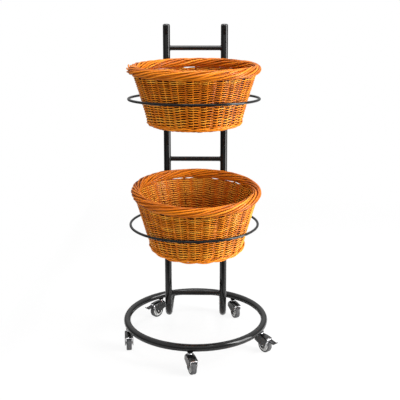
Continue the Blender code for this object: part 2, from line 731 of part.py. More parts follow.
def build_hood(name, swivel, axle_hole):
    """Black cap over the fork, with a hole for the collar."""
    hood = add_piece(
        f"caster_{name}_hood", slab_mesh(hood_outline(), 2 * HOOD_HALF, STAND_ON_X), swivel, BLACK_PLASTIC
    )
    channel = under_roof(FIT_GAP, -FORK_HEAD_RADIUS - FIT_GAP, CASTER_TRAIL + WHEEL_DIAMETER)
    width = 2 * (FORK_HALF + FIT_GAP)
    channel_cutter = add_cutter(f"hood_channel_{name}", slab_mesh(channel, width, STAND_ON_X), swivel)
    boolean(hood, channel_cutter, "DIFFERENCE")
    opening = COLLAR_DIAMETER / 2 + SWIVEL_CLEARANCE
    collar_hole = cylinder_mesh(opening, WHEEL_DIAMETER, BOSS_TOP, SMALL_STEPS)
    boolean(hood, add_cutter(f"collar_hole_{name}", collar_hole, swivel), "DIFFERENCE")
    boolean(hood, axle_hole, "DIFFERENCE")


def build_wheel(name, swivel):
    """Hub and moulded-on tread, both turned about the axle."""
    axle = new_axis(f"caster_{name}_axle_axis", swivel, (CASTER_TRAIL, 0, WHEEL_RADIUS))
    lying = (math.pi / 2, 0, 0)
    seat = WHEEL_RADIUS - TREAD_DEPTH
    half = WHEEL_WIDTH / 2
    tread = [
        (seat, half),
        (WHEEL_RADIUS - TREAD_ROUNDING, half),
        (WHEEL_RADIUS, half - TREAD_ROUNDING),
        (WHEEL_RADIUS, TREAD_ROUNDING - half),
        (WHEEL_RADIUS - TREAD_ROUNDING, -half),
        (seat, -half),
    ]
    turned_piece(f"caster_{name}_tyre", tread, WHEEL_STEPS, axle, TREAD, closed=True, turn=lying)
    bore = AXLE_DIAMETER / 2 + FIT_GAP
    rim = seat - FIT_GAP
    boss = HUB_WIDTH / 2
    web = half - HUB_RECESS
    face = [(bore, boss), (HUB_BOSS_RADIUS, boss), (rim - HUB_RECESS, web), (rim, half)]
    mirrored = [(radius, -height) for radius, height in reversed(face)]
    turned_piece(f"caster_{name}_hub", face + mirrored, HUB_STEPS, axle, HUB, closed=True, turn=lying)


def pedal_outline():
    """Side view of the pedal about its pivot: barrel, paddle, turned-up lip and brake shoe."""
    barrel = PEDAL_BARREL_DIAMETER / 2
    half = PEDAL_THICKNESS / 2
    knee = polar((0, 0), PEDAL_LENGTH, PEDAL_SLOPE)
    lip = polar(knee, PEDAL_LIP, PEDAL_LIP_SLOPE)
    up = PEDAL_SLOPE + math.pi / 2
    lip_up = PEDAL_LIP_SLOPE + math.pi / 2
    root = math.asin(half / barrel)
    shoe = PIVOT_ANGLE + math.pi + SHOE_LAG
    shoe_spread = math.asin(SHOE_WIDTH / 2 / barrel)
    shoe_tip = polar((0, 0), SHOE_REACH, shoe)
    back = arc((0, 0), barrel, PEDAL_SLOPE + root, shoe - shoe_spread, EAR_STEPS)
    under = arc((0, 0), barrel, shoe + shoe_spread, PEDAL_SLOPE + 2 * math.pi - root, 2)
    middle_up = (up + lip_up) / 2
    inner = half / math.cos((lip_up - up) / 2)
    return [
        polar(lip, half, lip_up),
        polar(knee, inner, middle_up),
        *back,
        polar(shoe_tip, SHOE_WIDTH / 2, shoe - math.pi / 2),
        polar(shoe_tip, SHOE_WIDTH / 2, shoe + math.pi / 2),
        *under,
        polar(knee, -inner, middle_up),
        polar(lip, -half, lip_up),
    ]


def build_pedal(name, swivel):
    """Brake pedal with its pivot pins in one piece."""
    pivot = new_axis(f"caster_{name}_pedal_axis", swivel, (PIVOT_X, 0, PIVOT_Z))
    paddle = slab_mesh(pedal_outline(), PEDAL_WIDTH, STAND_ON_X)
    pedal = add_piece(f"caster_{name}_pedal", paddle, pivot, PEDAL_GREY)
    pins = across(PIVOT_PIN_DIAMETER / 2, FORK_HALF, (0, 0))
    boolean(pedal, add_cutter(f"pivot_pins_{name}", pins, pivot), "UNION")


def build_casters():
    """Five swivel casters set round the ring; two of them have brakes."""
    for name, bearing, heading, braked in CASTERS:
        place = (*polar((0, 0), RING_RADIUS, bearing), 0)
        swivel = new_axis(f"caster_{name}_swivel_axis", STAND, place, (0, 0, heading))
        centre = (CASTER_TRAIL, WHEEL_RADIUS)
        drill = across(AXLE_DIAMETER / 2 + FIT_GAP, 2 * HOOD_HALF, centre)
        axle_hole = add_cutter(f"axle_hole_{name}", drill, swivel)
        build_stem(name, swivel)
        build_fork(name, swivel, axle_hole, braked)
        build_hood(name, swivel, axle_hole)
        build_wheel(name, swivel)
        pin = across(AXLE_DIAMETER / 2, HOOD_HALF - TREAD_ROUNDING / 2, centre)
        add_piece(f"caster_{name}_axle", pin, swivel, ZINC)
        if braked:
            build_pedal(name, swivel)


clear_scene()
PARTS = new_collection("basket_display_stand")
CUTTERS = new_collection("cutters")
BLACK_COAT = new_material("black_powder_coat", (0.02, 0.02, 0.022), 0.35, 0.2)
BLACK_PLASTIC = new_material("black_plastic", (0.03, 0.03, 0.032), 0.5)
ZINC = new_material("zinc_plate", (0.62, 0.62, 0.62), 0.3, 1.0)
CHROME = new_material("chrome", (0.75, 0.75, 0.76), 0.15, 1.0)
TREAD = new_material("grey_tread", (0.09, 0.09, 0.095), 0.6)
HUB = new_material("pale_hub", (0.55, 0.55, 0.53), 0.5)
PEDAL_GREY = new_material("pedal_grey", (0.07, 0.07, 0.075), 0.55)
WICKER = new_material("honey_wicker", (0.55, 0.24, 0.05), 0.45)
STAND = new_axis("stand", location=(ORIGIN_X, ORIGIN_Y, 0))

upright_clearance = upright_cutters()
build_base_ring()
build_uprights()
build_crossbars(upright_clearance)
build_plugs()
build_snap_fixings()
build_tiers(upright_clearance)
build_casters()
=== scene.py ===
"""Looks of a rolling two-tier basket stand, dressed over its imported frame.

The frame gives every position. Each sub-assembly below is a class that models its visible pieces in
metres, in the stand's own frame, and gives them their finish: a glossy powder-coated ladder and base
ring with their welds, plated and moulded casters, and two baskets woven rod by rod from willow.
"""
from __future__ import annotations

import json
import logging
import math
from collections.abc import Callable, Sequence
from dataclasses import dataclass, replace
from enum import Enum
from functools import cache, partial

import bpy
import numpy as np
from mathutils import Matrix, Vector

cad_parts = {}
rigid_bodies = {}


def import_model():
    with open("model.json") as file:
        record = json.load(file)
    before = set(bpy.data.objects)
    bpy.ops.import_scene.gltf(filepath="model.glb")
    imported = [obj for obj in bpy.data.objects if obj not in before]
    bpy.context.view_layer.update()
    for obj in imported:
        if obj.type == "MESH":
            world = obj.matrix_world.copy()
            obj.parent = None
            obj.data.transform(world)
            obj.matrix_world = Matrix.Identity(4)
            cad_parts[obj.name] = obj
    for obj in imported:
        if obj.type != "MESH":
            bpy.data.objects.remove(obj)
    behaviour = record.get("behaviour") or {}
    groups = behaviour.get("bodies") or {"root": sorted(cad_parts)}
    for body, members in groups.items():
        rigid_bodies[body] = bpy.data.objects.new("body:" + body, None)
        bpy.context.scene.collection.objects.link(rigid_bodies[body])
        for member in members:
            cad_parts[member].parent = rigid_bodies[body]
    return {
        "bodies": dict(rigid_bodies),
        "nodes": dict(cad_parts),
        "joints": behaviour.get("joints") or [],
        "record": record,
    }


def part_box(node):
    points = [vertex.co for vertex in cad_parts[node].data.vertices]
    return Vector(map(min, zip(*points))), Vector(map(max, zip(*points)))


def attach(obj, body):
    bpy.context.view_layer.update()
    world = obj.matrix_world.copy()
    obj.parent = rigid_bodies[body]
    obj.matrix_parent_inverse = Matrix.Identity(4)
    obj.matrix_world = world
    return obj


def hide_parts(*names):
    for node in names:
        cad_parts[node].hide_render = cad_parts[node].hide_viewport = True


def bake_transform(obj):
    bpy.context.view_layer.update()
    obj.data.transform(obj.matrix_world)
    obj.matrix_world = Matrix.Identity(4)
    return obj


log = logging.getLogger("basket_stand")

FRAME_BODY = "frame"
FULL_TURN = 2 * math.pi
QUARTER_TURN = math.pi / 2

# Clearance between pieces that fit together
FIT_GAP = 0.0003

# Points closer than this are merged, in new pieces and in copies of frame nodes
WELD_DISTANCE = 1e-6
NODE_WELD_DISTANCE = 1e-5

# Edges are dissolved below the first angle, rounded above the second and shaded sharp above the others
FLAT_ANGLE = math.radians(1)
ROUNDED_ANGLE = math.radians(28)
SMOOTH_ANGLE = math.radians(35)
ROD_SMOOTH_ANGLE = math.radians(50)

# Painted shade beside a rod's seen side, in the grooves between rods: where it starts, how softly, and its
# share on the side turned away
GROOVE_SHADE_START = 0.85
GROOVE_SHADE_FADE = 0.6
INNER_GROOVE_SHADE = 0.2

# Stretch of grain that is skipped between one rod and the next
GRAIN_STEP = 0.1

# Lengths are never divided by less than this
TINY = 1e-9

Colour = tuple[float, float, float]
Point = tuple[float, float, float]


class Slot(Enum):
    """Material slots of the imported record."""

    POWDER_COAT = "black_powder_coat"
    BLACK_PLASTIC = "black_plastic"
    ZINC = "zinc_plate"
    CHROME = "chrome"
    TREAD = "grey_tread"
    HUB = "pale_hub"
    PEDAL = "pedal_grey"
    WICKER = "honey_wicker"


class Tier(Enum):
    """The two shelves of the stand."""

    LOWER = "lower"
    UPPER = "upper"


class Side(Enum):
    """The two legs of the ladder."""

    LEFT = "left"
    RIGHT = "right"


class Mark(Enum):
    """Values that the mesh of a willow piece carries for its finish."""

    TINT = "rod_tint"
    # Painted shade in the grooves between rods and on the dark sheet in the wall
    GROOVE = "rod_groove"


# Selecting, editing and joining


def focus(first: bpy.types.Object, *others: bpy.types.Object) -> None:
    """Select only these objects and make the first one active.

    Args:
        first: the object that becomes active.
        others: further objects to select.
    """
    bpy.ops.object.select_all(action="DESELECT")
    for obj in (first, *others):
        obj.select_set(True)
    bpy.context.view_layer.objects.active = first


def edit(obj: bpy.types.Object, *steps: Callable[[], object]) -> None:
    """Run edit-mode operators on the whole of a mesh.

    Args:
        obj: the mesh object.
        steps: operators to call in order, with everything selected at the start.
    """
    focus(obj)
    bpy.ops.object.mode_set(mode="EDIT")
    bpy.ops.mesh.select_all(action="SELECT")
    for step in steps:
        step()
    bpy.ops.object.mode_set(mode="OBJECT")


def weld_points(distance: float = WELD_DISTANCE) -> Callable[[], object]:
    """Return the edit step that merges points closer than a distance."""
    return partial(bpy.ops.mesh.remove_doubles, threshold=distance)


def face_outwards() -> Callable[[], object]:
    """Return the edit step that turns every face outwards."""
    return partial(bpy.ops.mesh.normals_make_consistent, inside=False)


def smooth(obj: bpy.types.Object, angle: float = SMOOTH_ANGLE) -> None:
    """Shade a piece smooth, but for edges that turn more than an angle."""
    focus(obj)
    bpy.ops.object.shade_smooth_by_angle(angle=angle)


def apply_modifier(obj: bpy.types.Object, kind: str, **values: object) -> None:
    """Add one modifier, set it and apply it.

    Args:
        obj: the mesh object.
        kind: Blender's modifier type.
        values: the modifier's settings.
    """
    modifier = obj.modifiers.new(kind.title(), kind)
    for key, value in values.items():
        setattr(modifier, key, value)
    focus(obj)
    bpy.ops.object.modifier_apply(modifier=modifier.name)


def link_new(name: str, data: bpy.types.ID) -> bpy.types.Object:
    """Put a mesh, curve, lamp or camera into the scene as a new object.

    Args:
        name: the object's name.
        data: what it shows.

    Returns:
        The new object, at the origin.
    """
    obj = bpy.data.objects.new(name, data)
    bpy.context.scene.collection.objects.link(obj)
    return obj


def move_mesh(obj: bpy.types.Object, place: Matrix) -> None:
    """Move a piece's mesh, so that the object itself stays at the origin."""
    obj.data.transform(place)
    obj.data.update()


def mesh_points(obj: bpy.types.Object) -> np.ndarray:
    """Read a piece's mesh points.

    Args:
        obj: the mesh object.

    Returns:
        One row per point.
    """
    points = np.empty(len(obj.data.vertices) * 3)
    obj.data.vertices.foreach_get("co", points)
    return points.reshape(-1, 3)


def set_mesh_points(obj: bpy.types.Object, points: np.ndarray) -> None:
    """Move a piece's mesh points to new places, one row each."""
    obj.data.vertices.foreach_set("co", points.ravel())


def mark_points(obj: bpy.types.Object, mark: Mark, values: np.ndarray) -> None:
    """Write one value per mesh point for the piece's finish."""
    obj.data.attributes.new(mark.value, "FLOAT", "POINT").data.foreach_set("value", values)


def turned(name: str, profile: Sequence[tuple[float, float]], place: Matrix, steps: int) -> bpy.types.Object:
    """Spin a profile about the Z axis into a closed turned piece.

    Args:
        name: the piece's name.
        profile: points of (radius, height) along the outline.
        place: where the piece goes once it is turned.
        steps: facets round the axis.

    Returns:
        The finished piece.
    """
    mesh = bpy.data.meshes.new(name)
    edges = [(index, index + 1) for index in range(len(profile) - 1)]
    mesh.from_pydata([(radius, 0.0, height) for radius, height in profile], edges, [])
    piece = link_new(name, mesh)
    spin = partial(bpy.ops.mesh.spin, steps=steps, angle=FULL_TURN, center=(0, 0, 0), axis=(0, 0, 1))
    edit(piece, spin, partial(bpy.ops.mesh.select_all, action="SELECT"), weld_points(), face_outwards())
    move_mesh(piece, place)
    smooth(piece)
    return piece


def round_edges(obj: bpy.types.Object, width: float, steps: int = 3, sharper: float = ROUNDED_ANGLE) -> None:
    """Round the edges of a piece that are sharper than an angle, and shade it smooth."""
    apply_modifier(obj, "BEVEL", width=width, segments=steps, limit_method="ANGLE", angle_limit=sharper)
    smooth(obj)


def softened_copy(node: bpy.types.Object, name: str, width: float) -> bpy.types.Object:
    """Copy a frame node's mesh and round its edges.

    Args:
        node: the frame's own object, which is left alone.
        name: the new piece's name.
        width: how wide the rounding of an edge is.

    Returns:
        The rounded copy.
    """
    piece = link_new(name, node.data.copy())
    flatten = partial(bpy.ops.mesh.dissolve_limited, angle_limit=FLAT_ANGLE)
    edit(piece, weld_points(NODE_WELD_DISTANCE), flatten)
    round_edges(piece, width)
    return piece


# Rods: everything made of wire, tube or willow


@dataclass
class Rod:
    """One round rod along a path.

    Attributes:
        path: points along its middle, one row each.
        radius: its radius at each point.
        tint: where it lies between the darkest and lightest rods, once or at each point.
        closed: whether its ends meet.
        facing: direction of its seen side at each point, if painted shade darkens the grooves beside it.
        groove_shade: how dark that painted shade is, at each point.
    """

    path: np.ndarray
    radius: np.ndarray
    tint: float | np.ndarray = 0.5
    closed: bool = False
    facing: np.ndarray | None = None
    groove_shade: float | np.ndarray = 0.0

    @property
    def length(self) -> float:
        """Length along the path."""
        return float(np.linalg.norm(np.diff(self.path, axis=0), axis=1).sum())

    def placed(self, place: Matrix) -> Rod:
        """Return this rod moved into another frame.

        Args:
            place: the frame it goes to.

        Returns:
            The moved rod.
        """
        turn = np.array(place.to_3x3())
        facing = None if self.facing is None else self.facing @ turn.T
        return replace(self, path=self.path @ turn.T + np.array(place.translation), facing=facing)

    def grooves(self, spots: np.ndarray, ring: np.ndarray) -> np.ndarray:
        """How dark the painted shade in the grooves beside this rod makes points of its mesh.

        Args:
            spots: the mesh points.
            ring: which point of the path each of them belongs to.

        Returns:
            One value from 0 to 1 per mesh point.
        """
        if self.facing is None:
            return np.zeros(len(spots))
        offset = spots - self.path[ring]
        offset /= np.maximum(np.linalg.norm(offset, axis=1, keepdims=True), TINY)
        side = np.sum(offset * self.facing[ring], axis=1)
        depth = np.clip((GROOVE_SHADE_START - np.abs(side)) / GROOVE_SHADE_FADE, 0.0, 1.0)
        depth *= np.broadcast_to(self.groove_shade, len(self.path))[ring]
        return depth * np.where(side < 0, INNER_GROOVE_SHADE, 1.0)


def even_rod(
    path: Sequence[Sequence[float]] | np.ndarray, radius: float, closed: bool = False, tint: float = 0.5
) -> Rod:
    """Make a rod of one thickness and tint."""
    points = np.asarray(path, dtype=float)
    return Rod(points, np.full(len(points), radius), tint, closed)


def rod_curve(name: str, rod: Rod, sides: int) -> bpy.types.Object:
    """Lay one rod out as a bevelled curve.

    Args:
        name: the curve's name.
        rod: the rod.
        sides: facets round it.

    Returns:
        The curve object.
    """
    curve = bpy.data.curves.new(name, "CURVE")
    curve.dimensions = "3D"
    curve.bevel_depth = 1.0
    curve.bevel_resolution = (sides - 4) // 2
    curve.use_fill_caps = not rod.closed
    spline = curve.splines.new("POLY")
    spline.points.add(len(rod.path) - 1)
    spline.points.foreach_set("co", np.column_stack([rod.path, np.ones(len(rod.path))]).ravel())
    spline.points.foreach_set("radius", rod.radius)
    spline.use_cyclic_u = rod.closed
    return link_new(name, curve)


def mark_rod(obj: bpy.types.Object, rod: Rod, sides: int, start: float) -> None:
    """Write a rod's tint and its painted groove shade on its mesh, and its length in metres into its UV map.

    Args:
        obj: the rod's mesh object.
        rod: the rod it was made from.
        sides: facets round it.
        start: where along the grain this rod begins, so that no two look alike.
    """
    spots = mesh_points(obj)
    count = len(rod.path)
    ring = np.arange(len(spots)) // sides
    if not rod.closed:
        # An open rod's mesh starts with the rings of its caps, the far end's first
        ring = np.where(ring == 0, count - 1, np.maximum(ring - 2, 0))
    mark_points(obj, Mark.TINT, np.broadcast_to(rod.tint, count)[ring])
    mark_points(obj, Mark.GROOVE, rod.grooves(spots, ring))
    layer = obj.data.uv_layers.active.data
    uv = np.empty(len(layer) * 2)
    layer.foreach_get("uv", uv)
    uv[1::2] = uv[1::2] * rod.length + start
    layer.foreach_set("uv", uv)


def bind_rods(name: str, rods: Sequence[Rod], sides: int) -> bpy.types.Object:
    """Turn rods into one mesh piece.

    Args:
        name: the piece's name.
        rods: the rods in it.
        sides: facets round each rod.

    Returns:
        The piece, with its rod ends closed.
    """
    curves = [rod_curve(f"{name}_{index}", rod, sides) for index, rod in enumerate(rods)]
    focus(*curves)
    bpy.ops.object.convert(target="MESH")
    start = 0.0
    for obj, rod in zip(curves, rods):
        mark_rod(obj, rod, sides, start)
        start += rod.length + GRAIN_STEP
    if len(curves) > 1:
        focus(*curves)
        bpy.ops.object.join()
    piece = bpy.context.view_layer.objects.active
    piece.name = name
    piece.data.name = name
    edit(piece, weld_points())
    smooth(piece, ROD_SMOOTH_ANGLE)
    return piece


def circle(centre: Sequence[float], radius: float, steps: int) -> np.ndarray:
    """Points round a level circle.

    Args:
        centre: its middle.
        radius: its radius.
        steps: how many points.

    Returns:
        One row per point.
    """
    angle = np.arange(steps) * FULL_TURN / steps
    ring = np.column_stack([np.cos(angle), np.sin(angle), np.zeros(steps)])
    return np.asarray(centre, dtype=float) + radius * ring


def angles_along(start: float, sweep: float, steps: int) -> list[float]:
    """Return even angles along an arc, both ends included."""
    return [start + sweep * step / steps for step in range(steps + 1)]


# Finishes


class NodeDesk:
    """Adds and joins nodes in one tree."""

    # Places of a Mix node's colour sockets, whose names its other sockets share
    MIX_FACTOR, MIX_LOW, MIX_HIGH, MIX_RESULT = 0, 6, 7, 2

    def __init__(self, tree: bpy.types.NodeTree) -> None:
        """Work on a node tree."""
        self.tree = tree

    def add(self, kind: str, **inputs: object) -> bpy.types.Node:
        """Add a node and set or join its inputs.

        Args:
            kind: the node's type.
            inputs: values or sockets by input name, with _ for a space.

        Returns:
            The node.
        """
        node = self.tree.nodes.new(kind)
        for key, value in inputs.items():
            self.feed(node, key.replace("_", " "), value)
        return node

    def feed(self, node: bpy.types.Node, name: str | int, value: object) -> None:
        """Set one input, or join a socket to it.

        Args:
            node: the node that takes the value.
            name: the input's name or place.
            value: a plain value or another node's output.
        """
        if isinstance(value, bpy.types.NodeSocket):
            self.tree.links.new(value, node.inputs[name])
        else:
            node.inputs[name].default_value = value

    def mix(self, factor: object, low: object, high: object) -> bpy.types.NodeSocket:
        """Blend two colours.

        Args:
            factor: share of the second colour.
            low: the first colour or socket.
            high: the second colour or socket.

        Returns:
            The blended colour.
        """
        node = self.tree.nodes.new("ShaderNodeMix")
        node.data_type = "RGBA"
        self.feed(node, self.MIX_FACTOR, factor)
        self.feed(node, self.MIX_LOW, low)
        self.feed(node, self.MIX_HIGH, high)
        return node.outputs[self.MIX_RESULT]

    def remap(
        self, value: object, low: object, high: object, start: float = 0.0, end: float = 1.0
    ) -> bpy.types.NodeSocket:
        """Stretch a range of values to another range.

        Args:
            value: the socket to read.
            low: result at the start, as a value or socket.
            high: result at the end, as a value or socket.
            start: value that gives low.
            end: value that gives high.

        Returns:
            The new value, kept between low and high.
        """
        node = self.add(
            "ShaderNodeMapRange", Value=value, From_Min=start, From_Max=end, To_Min=low, To_Max=high
        )
        return node.outputs["Result"]

    def math(self, operation: str, left: object, right: object) -> bpy.types.NodeSocket:
        """Combine two values.

        Args:
            operation: Blender's name for it.
            left: first value.
            right: second value.

        Returns:
            The result.
        """
        node = self.tree.nodes.new("ShaderNodeMath")
        node.operation = operation
        self.feed(node, 0, left)
        self.feed(node, 1, right)
        return node.outputs[0]

    def mark(self, mark: Mark) -> bpy.types.NodeSocket:
        """Read one of the values that a willow piece's mesh carries.

        Args:
            mark: which one.

        Returns:
            The value.
        """
        node = self.tree.nodes.new("ShaderNodeAttribute")
        node.attribute_name = mark.value
        return node.outputs["Fac"]


def rgba(colour: Colour) -> tuple[float, float, float, float]:
    """Return a colour with full cover."""
    return (*colour, 1.0)


def grey(level: float) -> Colour:
    """Return a neutral colour."""
    return (level, level, level)


class Effects:
    """Shader groups that several finishes share, each made once."""

    # Noise values between which mottling goes from dark to light, and between which scuffs set in
    MOTTLE_RANGE = (0.3, 0.7)
    SCUFF_RANGE = (0.56, 0.74)

    @staticmethod
    def group(
        name: str, inputs: dict[str, str], outputs: dict[str, str], **noise: float
    ) -> tuple[NodeDesk, bpy.types.Node, bpy.types.NodeSocket]:
        """Start an effect group that works on one noise pattern.

        Args:
            name: the group's name.
            inputs: socket types by name, after the Vector and Scale that every group takes.
            outputs: socket types by name.
            noise: the pattern's own settings by input name.

        Returns:
            A desk on the new group, its input node and the pattern's value.
        """
        tree = bpy.data.node_groups.new(name, "ShaderNodeTree")
        taken = {"Vector": "Vector", "Scale": "Float", **inputs}
        for way, sockets in (("INPUT", taken), ("OUTPUT", outputs)):
            for socket, kind in sockets.items():
                tree.interface.new_socket(socket, in_out=way, socket_type=f"NodeSocket{kind}")
        desk = NodeDesk(tree)
        given = desk.add("NodeGroupInput")
        pattern = desk.add(
            "ShaderNodeTexNoise", Vector=given.outputs["Vector"], Scale=given.outputs["Scale"], **noise
        )
        return desk, given, pattern.outputs["Fac"]

    @staticmethod
    @cache
    def mottle() -> bpy.types.NodeTree:
        """Cloudy change of colour and gloss over a surface.

        Returns:
            The group.
        """
        desk, given, cloud = Effects.group(
            "Mottle",
            {"Dark": "Color", "Light": "Color", "Smoothest": "Float", "Roughest": "Float"},
            {"Color": "Color", "Roughness": "Float", "Value": "Float"},
            Detail=4.0,
        )
        share = desk.remap(cloud, 0.0, 1.0, *Effects.MOTTLE_RANGE)
        gloss = desk.remap(share, given.outputs["Smoothest"], given.outputs["Roughest"])
        colour = desk.mix(share, given.outputs["Dark"], given.outputs["Light"])
        desk.add("NodeGroupOutput", Color=colour, Roughness=gloss, Value=share)
        return desk.tree

    @staticmethod
    @cache
    def relief() -> bpy.types.NodeTree:
        """Fine unevenness of a surface, as a height.

        Returns:
            The group.
        """
        desk, given, grain = Effects.group(
            "Fine relief", {"Depth": "Float"}, {"Height": "Float"}, Detail=3.0
        )
        desk.add("NodeGroupOutput", Height=desk.math("MULTIPLY", grain, given.outputs["Depth"]))
        return desk.tree

    @staticmethod
    @cache
    def scuffs() -> bpy.types.NodeTree:
        """Sparse handling marks and dust, as a mask.

        Returns:
            The group.
        """
        desk, given, patch = Effects.group(
            "Scuffs", {"Amount": "Float"}, {"Mask": "Float"}, Detail=8.0, Roughness=0.7
        )
        sparse = desk.remap(patch, 0.0, 1.0, *Effects.SCUFF_RANGE)
        desk.add("NodeGroupOutput", Mask=desk.math("MULTIPLY", sparse, given.outputs["Amount"]))
        return desk.tree

    @staticmethod
    def place(desk: NodeDesk, tree: bpy.types.NodeTree, **inputs: object) -> bpy.types.Node:
        """Put an effect into a material with its own values.

        Args:
            desk: the material's desk.
            tree: the effect group.
            inputs: values or sockets by input name.

        Returns:
            The group node.
        """
        node = desk.tree.nodes.new("ShaderNodeGroup")
        node.node_tree = tree
        for key, value in inputs.items():
            desk.feed(node, key, value)
        return node

    @classmethod
    def emboss(cls, desk: NodeDesk, shader: bpy.types.Node, strength: float, **inputs: object) -> None:
        """Give a material fine relief.

        Args:
            desk: the material's desk.
            shader: its shader.
            strength: how much of the relief shows.
            inputs: values or sockets of the relief by input name, its depth in metres.
        """
        relief = cls.place(desk, cls.relief(), **inputs)
        bump = desk.add("ShaderNodeBump", Strength=strength, Distance=1.0, Height=relief.outputs["Height"])
        desk.feed(shader, "Normal", bump.outputs["Normal"])


def new_material(name: str) -> tuple[bpy.types.Material, NodeDesk, bpy.types.Node]:
    """Start a material.

    Args:
        name: its name.

    Returns:
        The material, a desk on its tree, and its Principled shader.
    """
    material = bpy.data.materials.new(name)
    material.use_nodes = True
    return material, NodeDesk(material.node_tree), material.node_tree.nodes["Principled BSDF"]


@dataclass(frozen=True)
class Coating:
    """A paint, plating or moulded plastic with mottled gloss, fine relief and scuffs.

    Attributes:
        slot: the record's slot that it stands for.
        dark: the darker colour of its mottling.
        light: the lighter colour.
        dust: colour of its scuffs.
        smoothest: lowest roughness.
        roughest: highest roughness.
        metallic: 1 for bare or plated metal.
        mottle_scale: patches per metre of its mottling.
        relief_scale: patches per metre of its fine relief.
        relief_depth: how deep the relief is, in metres.
        relief_strength: how much of the relief shows.
        scuff_scale: patches per metre of its scuffs.
        scuff_amount: how strong the scuffs are.
        scuff_roughness: how much rougher a scuff is.
        specular: specular level of the shader.
    """

    slot: Slot
    dark: Colour
    light: Colour
    dust: Colour
    smoothest: float
    roughest: float
    metallic: float = 0.0
    mottle_scale: float = 14.0
    relief_scale: float = 900.0
    relief_depth: float = 0.0001
    relief_strength: float = 0.6
    scuff_scale: float = 60.0
    scuff_amount: float = 0.2
    scuff_roughness: float = 0.25
    specular: float = 0.5

    def material(self) -> bpy.types.Material:
        """Build the material.

        Returns:
            The finished material.
        """
        material, desk, shader = new_material(self.slot.value)
        where = desk.add("ShaderNodeTexCoord").outputs["Object"]
        mottle = Effects.place(
            desk, Effects.mottle(), Vector=where, Scale=self.mottle_scale, Dark=rgba(self.dark),
            Light=rgba(self.light), Smoothest=self.smoothest, Roughest=self.roughest,
        )
        scuffs = Effects.place(
            desk, Effects.scuffs(), Vector=where, Scale=self.scuff_scale, Amount=self.scuff_amount
        )
        mask = scuffs.outputs["Mask"]
        desk.feed(shader, "Base Color", desk.mix(mask, mottle.outputs["Color"], rgba(self.dust)))
        rougher = desk.math("MULTIPLY", mask, self.scuff_roughness)
        desk.feed(shader, "Roughness", desk.math("ADD", mottle.outputs["Roughness"], rougher))
        Effects.emboss(
            desk, shader, self.relief_strength,
            Vector=where, Scale=self.relief_scale, Depth=self.relief_depth,
        )
        shader.inputs["Metallic"].default_value = self.metallic
        shader.inputs["Specular IOR Level"].default_value = self.specular
        return material


@dataclass(frozen=True)
class Willow:
    """Honey-stained, varnished willow rods.

    Attributes:
        slot: the record's slot that it stands for.
        deep: painted shade in the grooves between rods and on the dark sheet in the wall.
        dark: stain of the darkest rods.
        middle: stain of most rods.
        light: stain of the palest rods.
        smoothest: lowest roughness.
        roughest: highest roughness.
        varnish: weight of the clear coat.
        varnish_roughness: roughness of the clear coat.
        specular: specular level of the shader.
        grain: patches of grain round a rod and per metre along it.
        cloud_scale: patches per metre of the slow change from rod to rod.
        rod_share: share of a rod's own tint in its stain.
        grain_share: share of the grain.
        cloud_share: share of the slow change.
        mark_scale: size of the dark marks, in patches of grain.
        mark_amount: how strong the marks are.
        relief_scale: size of the fine relief, in patches of grain.
        relief_depth: how deep the relief is, in metres.
        relief_strength: how much of the relief shows.
    """

    slot: Slot = Slot.WICKER
    # The deep colour is painted shade for the grooves between rods
    deep: Colour = (0.030, 0.004, 0.0004)
    dark: Colour = (0.37, 0.072, 0.004)
    middle: Colour = (0.74, 0.205, 0.008)
    light: Colour = (0.95, 0.46, 0.055)
    smoothest: float = 0.34
    roughest: float = 0.52
    varnish: float = 0.12
    varnish_roughness: float = 0.2
    specular: float = 0.12
    grain: tuple[float, float, float] = (5.0, 45.0, 1.0)
    cloud_scale: float = 16.0
    rod_share: float = 0.66
    grain_share: float = 0.2
    cloud_share: float = 0.14
    mark_scale: float = 0.6
    mark_amount: float = 0.45
    relief_scale: float = 2.0
    relief_depth: float = 0.0003
    relief_strength: float = 0.5

    def material(self) -> bpy.types.Material:
        """Build the material; its grain follows each rod's UV map.

        Returns:
            The finished material.
        """
        material, desk, shader = new_material(self.slot.value)
        where = desk.add("ShaderNodeTexCoord").outputs
        along = desk.add("ShaderNodeMapping", Vector=where["UV"], Scale=self.grain).outputs["Vector"]
        grain = Effects.place(
            desk, Effects.mottle(), Vector=along, Scale=1.0, Smoothest=self.smoothest, Roughest=self.roughest
        )
        cloud = Effects.place(desk, Effects.mottle(), Vector=where["Object"], Scale=self.cloud_scale)
        by_rod = desk.math("MULTIPLY", desk.mark(Mark.TINT), self.rod_share)
        by_grain = desk.math("MULTIPLY", grain.outputs["Value"], self.grain_share)
        by_cloud = desk.math("MULTIPLY", cloud.outputs["Value"], self.cloud_share)
        share = desk.math("ADD", by_rod, desk.math("ADD", by_grain, by_cloud))
        low = desk.mix(desk.remap(share, 0.0, 1.0, 0.0, 0.5), rgba(self.dark), rgba(self.middle))
        stain = desk.mix(desk.remap(share, 0.0, 1.0, 0.5, 1.0), low, rgba(self.light))
        marks = Effects.place(
            desk, Effects.scuffs(), Vector=along, Scale=self.mark_scale, Amount=self.mark_amount
        )
        marked = desk.mix(marks.outputs["Mask"], stain, rgba(self.dark))
        # Painted shade: the deep colour darkens each point by its groove shade value
        desk.feed(shader, "Base Color", desk.mix(desk.mark(Mark.GROOVE), marked, rgba(self.deep)))
        desk.feed(shader, "Roughness", grain.outputs["Roughness"])
        Effects.emboss(
            desk, shader, self.relief_strength,
            Vector=along, Scale=self.relief_scale, Depth=self.relief_depth,
        )
        shader.inputs["Specular IOR Level"].default_value = self.specular
        shader.inputs["Coat Weight"].default_value = self.varnish
        shader.inputs["Coat Roughness"].default_value = self.varnish_roughness
        return material


